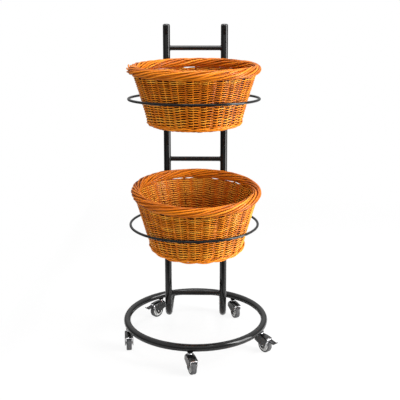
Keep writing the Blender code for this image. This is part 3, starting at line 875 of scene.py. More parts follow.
FINISHES = (
    Coating(
        Slot.POWDER_COAT, dark=grey(0.004), light=grey(0.008), dust=grey(0.018),
        smoothest=0.07, roughest=0.12, relief_depth=0.00002, specular=0.28,
    ),
    Coating(
        Slot.BLACK_PLASTIC, dark=grey(0.004), light=grey(0.009), dust=grey(0.05),
        smoothest=0.12, roughest=0.22,
    ),
    Coating(
        Slot.ZINC, dark=(0.48, 0.48, 0.49), light=(0.66, 0.66, 0.65), dust=(0.30, 0.29, 0.27),
        smoothest=0.22, roughest=0.40, metallic=1.0,
    ),
    Coating(
        Slot.CHROME, dark=(0.68, 0.68, 0.70), light=(0.82, 0.82, 0.83), dust=(0.45, 0.44, 0.42),
        smoothest=0.07, roughest=0.20, metallic=1.0, relief_depth=0.00003,
    ),
    Coating(
        Slot.TREAD, dark=(0.030, 0.030, 0.032), light=(0.060, 0.060, 0.062), dust=(0.20, 0.19, 0.18),
        smoothest=0.50, roughest=0.72, relief_depth=0.0002, scuff_amount=0.35,
    ),
    Coating(
        Slot.HUB, dark=(0.40, 0.40, 0.39), light=(0.52, 0.52, 0.51), dust=(0.25, 0.24, 0.22),
        smoothest=0.35, roughest=0.55,
    ),
    Coating(
        Slot.PEDAL, dark=(0.022, 0.022, 0.024), light=(0.040, 0.040, 0.042), dust=(0.15, 0.15, 0.145),
        smoothest=0.38, roughest=0.56, relief_depth=0.00015,
    ),
    Willow(),
)


class PackedFrame:
    """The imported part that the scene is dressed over."""

    def __init__(self, loaded: dict) -> None:
        """Args:
            loaded: the part's nodes, joints and record.
        """
        record = loaded["record"]
        self.nodes: dict[str, bpy.types.Object] = loaded["nodes"]
        self.slots = {part["node"]: Slot(part["material_slot"]) for part in record["subparts"]}
        self.joints: dict[str, dict] = {joint["name"]: joint for joint in loaded["joints"]}
        self.mounts: dict[str, dict] = {mount["name"]: mount for mount in record["mounts"]}


class Dresser:
    """Gives pieces their finish, their body and the node they stand for."""

    def __init__(self, frame: PackedFrame) -> None:
        """Make every finish once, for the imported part."""
        self.frame = frame
        self.finishes = {finish.slot: finish.material() for finish in FINISHES}

    def paint(self, obj: bpy.types.Object, slot: Slot) -> None:
        """Put a finish on a piece, in place of whatever it had."""
        obj.data.materials.clear()
        obj.data.materials.append(self.finishes[slot])

    def paint_nodes(self) -> None:
        """Put the finishes on the frame's own nodes, by the slots in the record."""
        for node, slot in self.frame.slots.items():
            for place in self.frame.nodes[node].material_slots:
                place.material = self.finishes[slot]

    def dress(self, obj: bpy.types.Object, slot: Slot, body: str, *replaced: str) -> bpy.types.Object:
        """Finish a new piece and fix it to its body.

        Args:
            obj: the piece.
            slot: its finish.
            body: the body that it moves with.
            replaced: frame nodes that it stands for.

        Returns:
            The same piece.
        """
        self.paint(obj, slot)
        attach(obj, body)
        if replaced:
            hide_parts(*replaced)
        log.info("%s on %s, %d faces", obj.name, body, len(obj.data.polygons))
        return obj


# The ladder and its base


@dataclass
class Ladder:
    """Base ring, uprights, crossbars, plugs, snap buttons and their springs.

    Attributes:
        dresser: finishes the pieces.
        tube: radius of the uprights and the ring tube.
        bar: radius of the crossbars.
        bend: radius of the bend at the foot of each upright.
        hole: radius of the fixing holes.
        hole_depth: how deep the fixing holes are cut.
        hole_drop: how far a fixing hole lies below its tube's end.
        tube_edge: width of the rounding of a tube's ends and holes.
        tube_edge_angle: edges of a tube that turn more than this are rounded.
        plug_dome: height of the end plugs.
        plug_crown: radius of the flat on a plug.
        button_proud: how far a snap button stands out of its tube.
        spring_edge: width of the rounding of a spring's edges.
        sides: facets round a tube, a hole and a button.
    """

    dresser: Dresser
    tube: float = 0.012
    bar: float = 0.008
    bend: float = 0.050
    hole: float = 0.00375
    hole_depth: float = 0.0105
    hole_drop: float = 0.028
    tube_edge: float = 0.0005
    tube_edge_angle: float = 1.0
    plug_dome: float = 0.005
    plug_crown: float = 0.005
    button_proud: float = 0.0015
    spring_edge: float = 0.0001
    sides: int = 32

    def __post_init__(self) -> None:
        """Read the places of the ring and the legs from the frame."""
        low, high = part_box("base_ring")
        self.ring_centre = (low + high) / 2
        self.ring_radius = (high.x - low.x) / 2 - self.tube
        self.leg_x: dict[Side, float] = {}
        for side in Side:
            low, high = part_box(f"upright_{side.value}_lower")
            self.leg_x[side] = (low.x + high.x) / 2
        self.leg_y = low.y + self.tube
        self.joint_z = high.z
        self.top_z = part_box("upright_left_upper")[1].z
        self.bar_z = {name: self.middle_height(f"crossbar_{name}") for name in ("base", "middle", "top")}

    @staticmethod
    def middle_height(node: str) -> float:
        """Return the middle height of a node's box."""
        low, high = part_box(node)
        return (low.z + high.z) / 2

    def build(self) -> None:
        """Model and dress every piece of the ladder."""
        self.build_ring()
        for side in Side:
            self.build_leg(side)
            self.build_plug(side)
            self.build_button(side)
            self.build_spring(side)
        self.build_bars()

    def build_ring(self) -> None:
        """The base ring, as one smooth tube."""
        rod = even_rod(circle(self.ring_centre, self.ring_radius, steps=180), self.tube, closed=True)
        ring = bind_rods("ring_tube", [rod], self.sides)
        self.dresser.dress(ring, Slot.POWDER_COAT, FRAME_BODY, "base_ring")

    def lower_path(self, x: float) -> list[Point]:
        """Points down a lower upright, round its bend and back to the ring.

        Args:
            x: where the upright stands.

        Returns:
            Points along the tube's middle.
        """
        reach = self.ring_radius ** 2 - (x - self.ring_centre.x) ** 2
        arm_end = self.ring_centre.y + math.sqrt(reach)
        middle_y = self.leg_y + self.bend
        middle_z = self.ring_centre.z + self.bend
        turn = [
            (x, middle_y + self.bend * math.cos(angle), middle_z + self.bend * math.sin(angle))
            for angle in angles_along(math.pi, QUARTER_TURN, steps=16)
        ]
        return [(x, self.leg_y, self.joint_z), *turn, (x, arm_end, self.ring_centre.z)]

    def drill(self, tube: bpy.types.Object, x: float, height: float) -> None:
        """Sink a blind fixing hole into the front of an upright.

        Args:
            tube: the upright.
            x: where it stands.
            height: height of the hole.
        """
        bpy.ops.object.select_all(action="DESELECT")
        bpy.ops.mesh.primitive_cylinder_add(
            vertices=self.sides, radius=self.hole, depth=2 * self.hole_depth,
            location=(x, self.leg_y - self.tube, height), rotation=(QUARTER_TURN, 0, 0),
        )
        cutter = bpy.context.object
        apply_modifier(tube, "BOOLEAN", object=cutter, operation="DIFFERENCE", solver="EXACT")
        bpy.data.objects.remove(cutter, do_unlink=True)

    def build_leg(self, side: Side) -> None:
        """Both tubes of one upright, with their fixing holes.

        Args:
            side: which leg.
        """
        x = self.leg_x[side]
        upper_path = [(x, self.leg_y, self.joint_z + FIT_GAP), (x, self.leg_y, self.top_z)]
        sections = (("lower", self.lower_path(x), self.joint_z), ("upper", upper_path, self.top_z))
        for section, path, end in sections:
            tube = bind_rods(f"leg_{side.value}_{section}", [even_rod(path, self.tube)], self.sides)
            self.drill(tube, x, end - self.hole_drop)
            round_edges(tube, self.tube_edge, steps=2, sharper=self.tube_edge_angle)
            self.dresser.dress(tube, Slot.POWDER_COAT, FRAME_BODY, f"upright_{side.value}_{section}")

    def build_plug(self, side: Side) -> None:
        """The domed plug in the top of one upright.

        Args:
            side: which leg.
        """
        flank = self.tube - self.plug_crown
        dome = [
            (self.plug_crown + flank * math.sin(angle), FIT_GAP + self.plug_dome * math.cos(angle))
            for angle in angles_along(0.0, QUARTER_TURN, steps=10)
        ]
        profile = [(0, FIT_GAP + self.plug_dome), *dome, (self.tube, FIT_GAP), (0, FIT_GAP)]
        place = Matrix.Translation((self.leg_x[side], self.leg_y, self.top_z))
        plug = turned(f"cap_{side.value}", profile, place, steps=48)
        self.dresser.dress(plug, Slot.BLACK_PLASTIC, FRAME_BODY, f"plug_{side.value}")

    def build_button(self, side: Side) -> None:
        """The sprung button in one section joint.

        Args:
            side: which leg.
        """
        radius = self.hole - FIT_GAP
        foot = self.tube - self.hole_depth / 2
        tip = self.tube + self.button_proud
        dome = [
            (radius * math.sin(angle), tip - self.button_proud * (1 - math.cos(angle)))
            for angle in angles_along(0.0, QUARTER_TURN, steps=8)
        ]
        middle = Matrix.Translation((self.leg_x[side], self.leg_y, self.joint_z - self.hole_drop))
        place = middle @ Matrix.Rotation(QUARTER_TURN, 4, "X")
        button = turned(f"button_{side.value}_head", [*dome, (radius, foot), (0, foot)], place, self.sides)
        self.dresser.dress(button, Slot.POWDER_COAT, f"button_{side.value}", f"snap_button_{side.value}")

    def build_spring(self, side: Side) -> None:
        """The hairpin spring behind one button, a rounded copy of its node.

        Args:
            side: which leg.
        """
        node = f"snap_spring_{side.value}"
        spring = softened_copy(self.dresser.frame.nodes[node], f"hairpin_{side.value}", self.spring_edge)
        self.dresser.paint(spring, Slot.ZINC)
        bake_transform(spring)
        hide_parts(node)
        log.info("%s bends with its button, %d faces", spring.name, len(spring.data.polygons))

    def build_bars(self) -> None:
        """The three crossbars, let into the uprights."""
        for name, height in self.bar_z.items():
            path = [(self.leg_x[side], self.leg_y, height) for side in Side]
            bar = bind_rods(f"rung_{name}", [even_rod(path, self.bar)], sides=24)
            self.dresser.dress(bar, Slot.POWDER_COAT, FRAME_BODY, f"crossbar_{name}")


@dataclass
class WireWork:
    """The guard hoop and the cradle of each tier.

    Attributes:
        dresser: finishes the pieces.
        ladder: the ladder that they are welded to.
        wire: radius of the wire.
        bow: how far a cradle's round front reaches out of the middle of its basket.
        rise: how far that front bends up inside the foot, to just under the floor.
        sides: facets round the wire.
    """

    dresser: Dresser
    ladder: Ladder
    wire: float = 0.004
    bow: float = 0.105
    rise: float = 0.0115
    sides: int = 16

    def __post_init__(self) -> None:
        """Take the cradles' width from the legs and their depth from the wire."""
        self.half = (self.ladder.leg_x[Side.RIGHT] - self.ladder.leg_x[Side.LEFT]) / 2
        self.depth = -(self.wire + FIT_GAP)

    def lean(self, tier: Tier) -> float:
        """Return how far a tier's cradle leans forward."""
        up = basket_frame(self.dresser.frame, tier).to_3x3().col[2]
        return math.atan2(-up.y, up.z)

    def seat(self, tier: Tier) -> Matrix:
        """The plane that a tier's basket stands on.

        Args:
            tier: which shelf.

        Returns:
            A frame on the cradle's middle, leaning with it.
        """
        origin = basket_frame(self.dresser.frame, tier).translation
        middle = Vector((self.ladder.ring_centre.x, origin.y, origin.z))
        return Matrix.Translation(middle) @ Matrix.Rotation(self.lean(tier), 4, "X")

    def hoop_circle(self, tier: Tier) -> tuple[Vector, float]:
        """Return the middle of a tier's hoop and the radius of its wire's middle."""
        low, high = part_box(f"hoop_{tier.value}")
        return (low + high) / 2, (high.x - low.x) / 2 - self.wire

    def build(self) -> None:
        """Model and dress the hoops and cradles."""
        for tier in Tier:
            centre, radius = self.hoop_circle(tier)
            rod = even_rod(circle(centre, radius, steps=160), self.wire, closed=True)
            hoop = bind_rods(f"guard_{tier.value}", [rod], self.sides)
            self.dresser.dress(hoop, Slot.POWDER_COAT, FRAME_BODY, f"hoop_{tier.value}")
            rod = even_rod(self.cradle_path(tier), self.wire).placed(self.seat(tier))
            cradle = bind_rods(f"rest_{tier.value}", [rod], self.sides)
            self.dresser.dress(cradle, Slot.POWDER_COAT, FRAME_BODY, f"cradle_{tier.value}")

    def cradle_path(self, tier: Tier) -> list[Point]:
        """Points along a cradle, in its own plane.

        Args:
            tier: which shelf.

        Returns:
            Points from one upright round the bow to the other.
        """
        leg = (self.ladder.leg_y - self.seat(tier).translation.y) / math.cos(self.lean(tier))
        bow = [
            (
                self.half * math.cos(angle),
                self.bow * math.sin(angle),
                self.depth - self.rise * math.sin(angle),
            )
            for angle in angles_along(math.pi, math.pi, steps=48)
        ]
        return [(-self.half, leg, self.depth), *bow, (self.half, leg, self.depth)]


# Baskets


@dataclass(frozen=True)
class BasketShape:
    """Sizes of a basket, along its own axis from the ground under its foot.

    Attributes:
        base_radius: outer radius of the wall at its foot.
        neck_radius: outer radius of the wall under the rim.
        flare: how the wall opens between them.
        wall: thickness of the wall.
        foot_roll: thickness of the foot border.
        floor: thickness of the floor.
        rim_radius: radius of the rim's middle.
        rim_roll: thickness of the rim.
        rim_rise: height of the rim's middle.
        rim_lap: how far the wall's inner and outer faces wave in and out under the rim.
    """

    base_radius: float = 0.149
    neck_radius: float = 0.190
    flare: float = 1.1
    wall: float = 0.012
    foot_roll: float = 0.012
    floor: float = 0.008
    rim_radius: float = 0.188
    rim_roll: float = 0.030
    rim_rise: float = 0.1745
    rim_lap: float = 0.0031

    @property
    def floor_low(self) -> float:
        """Height of the underside of the floor, where the wall starts too."""
        return self.foot_roll + FIT_GAP

    @property
    def floor_top(self) -> float:
        """Height of the floor's top."""
        return self.floor_low + self.floor

    @property
    def wall_top(self) -> float:
        """Height at which the wall meets the rim."""
        outside = max(0.0, self.rim_radius - self.neck_radius + self.rim_lap)
        return self.rim_rise - math.sqrt((self.rim_roll / 2) ** 2 - outside ** 2) - FIT_GAP

    def middle(self, height: np.ndarray) -> np.ndarray:
        """Return the radius of the middle of the wall at heights along the axis."""
        share = np.clip((height - self.floor_low) / (self.wall_top - self.floor_low), 0.0, 1.0)
        return self.base_radius + (self.neck_radius - self.base_radius) * share ** self.flare - self.wall / 2


def basket_frame(frame: PackedFrame, tier: Tier) -> Matrix:
    """A basket's own frame: origin under its foot, +Z up its axis.

    Args:
        frame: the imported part.
        tier: which shelf.

    Returns:
        The frame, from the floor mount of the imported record.
    """
    mount = frame.mounts[f"basket_floor_{tier.value}"]
    up = Vector(mount["axis"]).normalized()
    side = Vector((1, 0, 0))
    turn = Matrix((side, up.cross(side), up)).transposed().to_4x4()
    return Matrix.Translation(Vector(mount["pos_m"]) - up * BasketShape().floor_top) @ turn


class Hand:
    """The weaver's unevenness: seeded random numbers and slow wobbles."""

    # Waves of a wobble, as multiples of its own count, and about the sum of their heights
    OCTAVES = (1.0, 2.3, 4.7)
    OCTAVE_SUM = 1.65

    def __init__(self, seed: int) -> None:
        """Start a repeatable run of random numbers."""
        self.random = np.random.default_rng(seed)

    def wobble(self, along: np.ndarray, reach: float, waves: float) -> np.ndarray:
        """A smooth wander along a rod.

        Args:
            along: angle along the rod.
            reach: how far it wanders.
            waves: swings per full turn.

        Returns:
            One offset per point.
        """
        total = np.zeros_like(along)
        for octave in self.OCTAVES:
            total += np.sin(along * waves * octave + self.random.uniform(0, FULL_TURN)) / octave
        return reach * total / self.OCTAVE_SUM

    def tint(self, middle: float = 0.5, spread: float = 0.22) -> float:
        """Pick how pale a rod is, from 0 to 1, about a usual tint."""
        return float(np.clip(self.random.normal(middle, spread), 0.0, 1.0))


@dataclass(frozen=True)
class FloorWeave:
    """How the floor of a basket is woven.

    Attributes:
        ribs: radial rods, an odd number so that one spiral alternates by itself.
        rib_radii: radius of a rib at its inner and outer end.
        rib_start: where the ribs start, as a share of the eye.
        rib_tint: how pale they are.
        rod: radius of the spiral's rods.
        pitch: distance between turns of the spiral, in radii of its rods.
        swing: how far the spiral passes over and under the ribs.
        eye: radius of the coil in the middle.
        hollow: radius of the hole in that coil.
        gap: distance of the spiral's last turn from the wall.
    """

    ribs: int = 27
    rib_radii: tuple[float, float] = (0.0012, 0.0019)
    rib_start: float = 0.7
    rib_tint: float = 0.4
    rod: float = 0.0022
    pitch: float = 2.05
    swing: float = 0.0019
    eye: float = 0.020
    hollow: float = 0.0005
    gap: float = 0.001


@dataclass(frozen=True)
class Rope:
    """A twisted border of long rods that pass over and under each other.

    Attributes:
        strands: rods side by side round the border.
        twists: turns of each strand on its way round the basket.
        ring: radius of the border's middle.
        level: height of the border's middle.
        lay: distance of the strands from that middle.
        thick: radius of a strand.
        lengths: rods that follow each other along a strand.
        tip: thickness of a rod's cut ends, as a share of the rest.
        swell: how quickly a rod grows from its ends.
        roll_wander: how far a strand strays round the border, as an angle.
        lay_wander: how far it strays in and out.
        darker: how much darker its rods are than those of the wall.
        spread: how far its rods differ in tint.
        groove_shade: how dark the painted shade in the grooves between them is.
    """

    strands: int
    twists: float
    ring: float
    level: float
    lay: float
    thick: float
    lengths: int = 3
    tip: float = 0.62
    swell: float = 8.0
    roll_wander: float = 0.2
    lay_wander: float = 0.0007
    darker: float = 0.26
    spread: float = 0.28
    groove_shade: float = 0.9

    @property
    def steps(self) -> float:
        """Points along a strand on its way round the basket."""
        return max(self.twists * 16, 120)


@dataclass(frozen=True)
class Lip:
    """Two long rods looped over each other round the foot of a basket.

    Attributes:
        loops: how often they cross on their way round.
        rod: radius of a rod.
        inset: how far their middle lies inside the foot's edge.
        swing: how far they pass in and out.
        climb: how far they pass up and down.
        rear_level: height of their middle behind, clear of the cradle.
        front_edge: how far round the front the other height reaches, as a cosine.
        groove_shade: how dark the painted shade in the grooves beside them is.
    """

    loops: int = 9
    rod: float = 0.0027
    inset: float = 0.0006
    swing: float = 0.0014
    climb: float = 0.0034
    rear_level: float = 0.0075
    front_edge: float = 0.35
    groove_shade: float = 0.7


@dataclass
class WovenBasket:
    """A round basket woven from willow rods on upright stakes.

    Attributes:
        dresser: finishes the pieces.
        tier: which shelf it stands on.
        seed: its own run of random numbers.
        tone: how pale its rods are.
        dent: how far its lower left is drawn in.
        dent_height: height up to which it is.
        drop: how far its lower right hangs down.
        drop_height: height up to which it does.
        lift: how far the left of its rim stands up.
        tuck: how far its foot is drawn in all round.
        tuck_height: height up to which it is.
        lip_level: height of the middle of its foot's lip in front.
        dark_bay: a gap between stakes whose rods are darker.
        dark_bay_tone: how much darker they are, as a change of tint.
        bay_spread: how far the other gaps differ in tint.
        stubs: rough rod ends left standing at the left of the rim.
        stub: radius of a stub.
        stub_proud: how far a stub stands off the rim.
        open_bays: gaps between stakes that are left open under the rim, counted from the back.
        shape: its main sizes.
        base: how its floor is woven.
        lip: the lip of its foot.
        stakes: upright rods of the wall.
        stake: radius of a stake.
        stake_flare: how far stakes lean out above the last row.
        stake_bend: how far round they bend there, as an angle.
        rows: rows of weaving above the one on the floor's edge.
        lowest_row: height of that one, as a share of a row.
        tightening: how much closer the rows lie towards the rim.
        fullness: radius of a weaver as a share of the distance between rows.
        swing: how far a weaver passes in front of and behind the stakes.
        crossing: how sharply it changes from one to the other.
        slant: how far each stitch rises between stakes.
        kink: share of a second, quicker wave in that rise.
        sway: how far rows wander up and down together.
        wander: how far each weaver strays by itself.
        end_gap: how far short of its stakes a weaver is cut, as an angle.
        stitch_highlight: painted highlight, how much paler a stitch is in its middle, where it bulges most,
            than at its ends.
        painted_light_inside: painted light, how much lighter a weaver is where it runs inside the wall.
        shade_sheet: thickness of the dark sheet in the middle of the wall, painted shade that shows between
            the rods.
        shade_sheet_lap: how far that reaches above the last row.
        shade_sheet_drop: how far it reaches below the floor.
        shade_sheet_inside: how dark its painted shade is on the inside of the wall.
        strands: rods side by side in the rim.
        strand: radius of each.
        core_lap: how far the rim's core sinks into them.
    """

    dresser: Dresser
    tier: Tier
    seed: int
    tone: float
    dent: float = 0.0
    dent_height: float = 0.048
    drop: float = 0.0
    drop_height: float = 0.09
    lift: float = 0.0
    tuck: float = 0.006
    tuck_height: float = 0.016
    lip_level: float = 0.0085
    dark_bay: int | None = None
    dark_bay_tone: float = -0.4
    bay_spread: float = 0.13
    stubs: int = 0
    stub: float = 0.0026
    stub_proud: float = 0.003
    open_bays: tuple[int, ...] = ()
    shape: BasketShape = BasketShape()
    base: FloorWeave = FloorWeave()
    lip: Lip = Lip()
    stakes: int = 26
    stake: float = 0.0021
    stake_flare: float = 0.004
    stake_bend: float = 0.07
    rows: int = 40
    lowest_row: float = 0.2
    tightening: float = 0.2
    fullness: float = 0.49
    swing: float = 0.0028
    crossing: float = 2.2
    slant: float = 0.0009
    kink: float = 0.35
    sway: float = 0.0022
    wander: float = 0.0003
    end_gap: float = 0.016
    stitch_highlight: float = 0.5
    painted_light_inside: float = 0.7
    shade_sheet: float = 0.0008
    shade_sheet_lap: float = 0.0045
    shade_sheet_drop: float = 0.004
    shade_sheet_inside: float = 0.3
    strands: int = 10
    strand: float = 0.0033
    core_lap: float = 0.0012

    def __post_init__(self) -> None:
        """Find the basket's place and start its random numbers."""
        self.hand = Hand(self.seed)
        self.place = basket_frame(self.dresser.frame, self.tier)
        self.body = f"basket_{self.tier.value}"
        self.waves = [(count, *self.hand.random.uniform(0, FULL_TURN, 2)) for count in (3, 5, 8, 13)]
        self.bay_tone = self.hand.random.normal(0.0, self.bay_spread, self.stakes)
        if self.dark_bay is not None:
            self.bay_tone[self.dark_bay] = self.dark_bay_tone

    def build(self) -> None:
        """Weave and dress the wall, stakes, floor, foot and rim."""
        name = self.tier.value
        self.finish(f"weave_{name}", self.weavers(), 8, "wall")
        self.finish(f"stakes_{name}", self.uprights(), 8)
        self.build_shade_sheet()
        self.finish(f"base_weave_{name}", self.floor(), 6, "floor")
        self.finish(f"foot_border_{name}", self.foot(), 8, "foot")
        self.finish(f"rim_border_{name}", self.rim(), 10, "rim")

    def finish(self, name: str, rods: Sequence[Rod], sides: int, *nodes: str) -> None:
        """Bind rods into one dressed piece.

        Args:
            name: the piece's name.
            rods: its rods, in the basket's own frame.
            sides: facets round each rod.
            nodes: endings of the frame nodes that it stands for.
        """
        placed = [replace(rod, path=self.slumped(rod.path)).placed(self.place) for rod in rods]
        piece = bind_rods(name, placed, sides)
        replaced = [f"basket_{self.tier.value}_{node}" for node in nodes]
        self.dresser.dress(piece, Slot.WICKER, self.body, *replaced)

    def build_shade_sheet(self) -> None:
        """A dark sheet in the middle of the wall: painted shade that shows between its rods."""
        top = self.row_height(self.rows)
        rise = np.linspace(self.shape.floor_low - self.shade_sheet_drop, top, 24)
        height = np.append(rise, top + self.shade_sheet_lap)
        radius = self.shape.middle(height)
        outside = list(zip(radius + self.shade_sheet / 2, height))
        inside = list(zip(radius - self.shade_sheet / 2, height))
        profile = [*outside, *reversed(inside), outside[0]]
        name = f"weave_shade_sheet_{self.tier.value}"
        shade_sheet = turned(name, profile, Matrix.Identity(4), steps=8 * self.stakes)
        spots = mesh_points(shade_sheet)
        bay = np.arctan2(-spots[:, 0], spots[:, 1]) % FULL_TURN * self.stakes / FULL_TURN
        opened = np.isin(bay.astype(int), self.open_bays) & (spots[:, 2] > top + self.shade_sheet_lap / 2)
        spots[:, 2] -= self.shade_sheet_lap * opened * np.sin(math.pi * (bay % 1)) ** 0.5
        set_mesh_points(shade_sheet, self.slumped(spots))
        outward = np.hypot(spots[:, 0], spots[:, 1]) > self.shape.middle(spots[:, 2])
        # Painted shade: the sheet takes the full deep colour outside and a share of it inside
        mark_points(shade_sheet, Mark.GROOVE, np.where(outward, 1.0, self.shade_sheet_inside))
        move_mesh(shade_sheet, self.place)
        self.dresser.dress(shade_sheet, Slot.WICKER, self.body)

    def slumped(self, points: np.ndarray) -> np.ndarray:
        """Draw in the lower left of the basket and let its lower right hang, as years of load do.

        Args:
            points: points in the basket's own frame.

        Returns:
            The points in their slumped places.
        """
        moved = points.copy()
        x, y, z = points.T
        radius = np.maximum(np.hypot(x, y), TINY)
        leftward = np.clip(-x / radius, 0.0, 1.0) ** 1.5
        rightward = np.clip(x / radius, 0.0, 1.0) ** 2 * np.clip(1 - 1.6 * y / radius, 0.0, 1.0)
        outer = np.clip(radius / self.shape.base_radius, 0.0, 1.0) ** 2
        pull = self.dent * leftward * outer * np.clip(1 - z / self.dent_height, 0.0, 1.0)
        pull += self.tuck * outer * np.clip(1 - z / self.tuck_height, 0.0, 1.0)
        fall = self.drop * rightward * outer * np.clip(1 - z / self.drop_height, 0.0, 1.0)
        moved[:, :2] *= (1 - pull / radius)[:, None]
        moved[:, 2] += self.lift * leftward * (z / self.shape.rim_rise) ** 2 - fall
        return moved

    @staticmethod
    def turn_points(
        angle: np.ndarray, radius: float | np.ndarray, height: float | np.ndarray
    ) -> np.ndarray:
        """Points about the basket's axis; angle 0 lies at its back and the left comes next."""
        level = np.broadcast_to(height, len(angle))
        return np.column_stack([-radius * np.sin(angle), radius * np.cos(angle), level])

    def row_height(self, row: float) -> float:
        """Height of a row of weaving.

        Args:
            row: which row, counted from the foot; a half lies between two rows.

        Returns:
            Height of its middle along the basket's axis.
        """
        share = max(row, self.lowest_row) / (self.rows + 1)
        share *= 1 + self.tightening * (1 - share)
        return self.shape.floor_low + (self.shape.wall_top - self.shape.floor_low) * share

    def weavers(self) -> list[Rod]:
        """Rods of the wall, two to a row, their ends tucked behind stakes.

        Returns:
            The weaver rods.
        """
        stitch_steps = 6
        rods = []
        for row in range(self.rows + 1):
            spots = np.sort(self.hand.random.choice(self.stakes // 2, 2, replace=False))
            cuts = (2 * spots + row + 1) * FULL_TURN / self.stakes
            for start, end in ((cuts[0], cuts[1]), (cuts[1], cuts[0] + FULL_TURN)):
                count = round((end - start) / FULL_TURN * self.stakes * stitch_steps) + 1
                angle = np.linspace(start + self.end_gap, end - self.end_gap, count)
                rods.append(self.weaver(row, angle))
        return rods

    def weaver(self, row: int, angle: np.ndarray) -> Rod:
        """One rod that passes in front of every other stake.

        Args:
            row: which row, counted from the foot.
            angle: how far round the wall each point lies.

        Returns:
            The rod.
        """
        share = row / (self.rows + 1)
        half_turns = self.stakes / 2 * angle
        stitch = np.cos(half_turns + math.pi * row)
        wave = sum(np.sin(count * angle + first + share * drift) for count, first, drift in self.waves)
        height = self.row_height(row) + self.sway * 2 * share * (1 - share) * wave
        height += self.hand.wobble(angle, self.wander, waves=9.0)
        height += self.slant * (np.sin(2 * half_turns) + self.kink * np.sin(4 * half_turns))
        radius = self.shape.middle(height) + self.swing * np.tanh(self.crossing * stitch)
        radius += self.hand.wobble(angle, self.wander, waves=5.0)
        pitch = self.row_height(max(row, 1) + 0.5) - self.row_height(max(row, 1) - 0.5)
        taper = np.linspace(1.04, 0.94, len(angle))
        thick = self.fullness * pitch * self.hand.random.uniform(0.94, 1.06) * taper
        bay = (angle * self.stakes / FULL_TURN).astype(int) % self.stakes
        tint = self.hand.tint(self.tone + 0.05, spread=0.18) + self.bay_tone[bay]
        # Painted highlight on each stitch's middle, where it bulges over or behind a stake
        tint += self.stitch_highlight * (np.abs(stitch) - 0.6)
        # Painted light on the parts that run inside the wall, facing the basket's inside
        tint += self.painted_light_inside * np.clip(-stitch, 0.0, 1.0)
        return Rod(
            self.turn_points(angle, radius, height),
            thick,
            np.clip(tint, 0.0, 1.0),
            facing=self.turn_points(angle, 1.0, 0.0),
            # Painted shade in the grooves beside the weaver, weaker where it bulges over a stake
            groove_shade=1 - 0.35 * np.cos(half_turns) ** 4,
        )

    def uprights(self) -> list[Rod]:
        """The stakes, from the foot border up into the rim.

        Returns:
            The stake rods.
        """
        foot_end = 0.004
        rim_end = self.shape.rim_rise - 0.006
        height = np.linspace(foot_end, rim_end, 26)
        last_row = self.row_height(self.rows)
        over = np.clip((height - last_row) / (self.shape.rim_rise - last_row), 0.0, 1.0)
        radius = self.shape.middle(height) + self.stake_flare * over
        rods = []
        for index in range(self.stakes):
            angle = index * FULL_TURN / self.stakes + self.hand.random.normal(0, 0.004)
            rods.append(Rod(
                self.turn_points(angle + self.stake_bend * over ** 2, radius, height),
                np.full(len(height), self.stake) * self.hand.random.uniform(0.92, 1.1),
                self.hand.tint(self.tone - 0.1, spread=0.12),
                facing=np.tile((0.0, 0.0, 1.0), (len(height), 1)),
                # Painted shade over most of a stake below the last row, where the weavers crowd it
                groove_shade=0.85 * (over == 0),
            ))
        return rods

    def floor(self) -> list[Rod]:
        """Woven round base: radial sticks with a spiral worked through them.

        Returns:
            The rods of the floor.
        """
        base = self.base
        level = (self.shape.floor_low + self.shape.floor_top) / 2
        edge = self.shape.base_radius - self.shape.wall - base.rod - base.gap
        rods = []
        for index in range(base.ribs):
            angle = np.full(8, index * FULL_TURN / base.ribs)
            radius = np.linspace(base.eye * base.rib_start, edge, len(angle))
            thick = np.linspace(*base.rib_radii, len(angle))
            rods.append(Rod(self.turn_points(angle, radius, level), thick, self.hand.tint(base.rib_tint)))
        pitch = base.pitch * base.rod
        turns = (edge - base.eye) / pitch
        start = 0.0
        while start < turns:
            end = min(start + self.hand.random.uniform(1.4, 2.6), turns)
            count = int((end - start) * base.ribs * 4) + 2
            angle = np.linspace(start, end, count) * FULL_TURN
            height = level + base.swing * np.cos(base.ribs * angle / 2)
            path = self.turn_points(angle, base.eye + pitch * angle / FULL_TURN, height)
            rods.append(even_rod(path, base.rod, tint=self.hand.tint(self.tone)))
            start = end
        angle = np.linspace(0.0, base.eye / pitch, 140) * FULL_TURN
        coil = self.turn_points(angle, pitch * angle / FULL_TURN + base.hollow, level)
        rods.append(even_rod(coil, base.rod, tint=self.hand.tint(self.tone)))
        return rods

    def twisted(self, rope: Rope) -> list[Rod]:
        """Lay the rods of a twisted border.

        Args:
            rope: the border's sizes.

        Returns:
            The rods of the border.
        """
        rods = []
        for strand in range(rope.strands):
            phase = FULL_TURN * strand / rope.strands
            cuts = np.sort(self.hand.random.uniform(0.0, FULL_TURN, rope.lengths))
            for start, end in zip(cuts, np.append(cuts[1:], cuts[0] + FULL_TURN)):
                count = int((end - start) / FULL_TURN * rope.steps) + 8
                angle = np.linspace(start, end, count)
                roll = phase + rope.twists * angle + self.hand.wobble(angle, rope.roll_wander, waves=4.0)
                out = rope.lay + self.hand.wobble(angle, rope.lay_wander, waves=7.0)
                radius = rope.ring + out * np.cos(roll)
                height = rope.level + out * np.sin(roll)
                ends = np.minimum(np.linspace(0.0, 1.0, count), np.linspace(1.0, 0.0, count))
                taper = np.clip(rope.tip + ends * rope.swell, 0.0, 1.0)
                rods.append(Rod(
                    self.turn_points(angle, radius, height),
                    rope.thick * self.hand.random.uniform(0.86, 1.1) * taper,
                    self.hand.tint(self.tone - rope.darker, rope.spread),
                    facing=self.turn_points(angle, np.cos(roll), np.sin(roll)),
                    groove_shade=rope.groove_shade,
                ))
        return rods

    def foot(self) -> list[Rod]:
        """The border that the basket stands on, with its lip.

        Returns:
            The rods of the foot.
        """
        middle = self.shape.base_radius - self.shape.foot_roll / 2
        border = Rope(strands=4, twists=13.0, ring=middle, level=0.0056, lay=0.0029, thick=0.0026)
        return [*self.twisted(border), *self.foot_lip()]

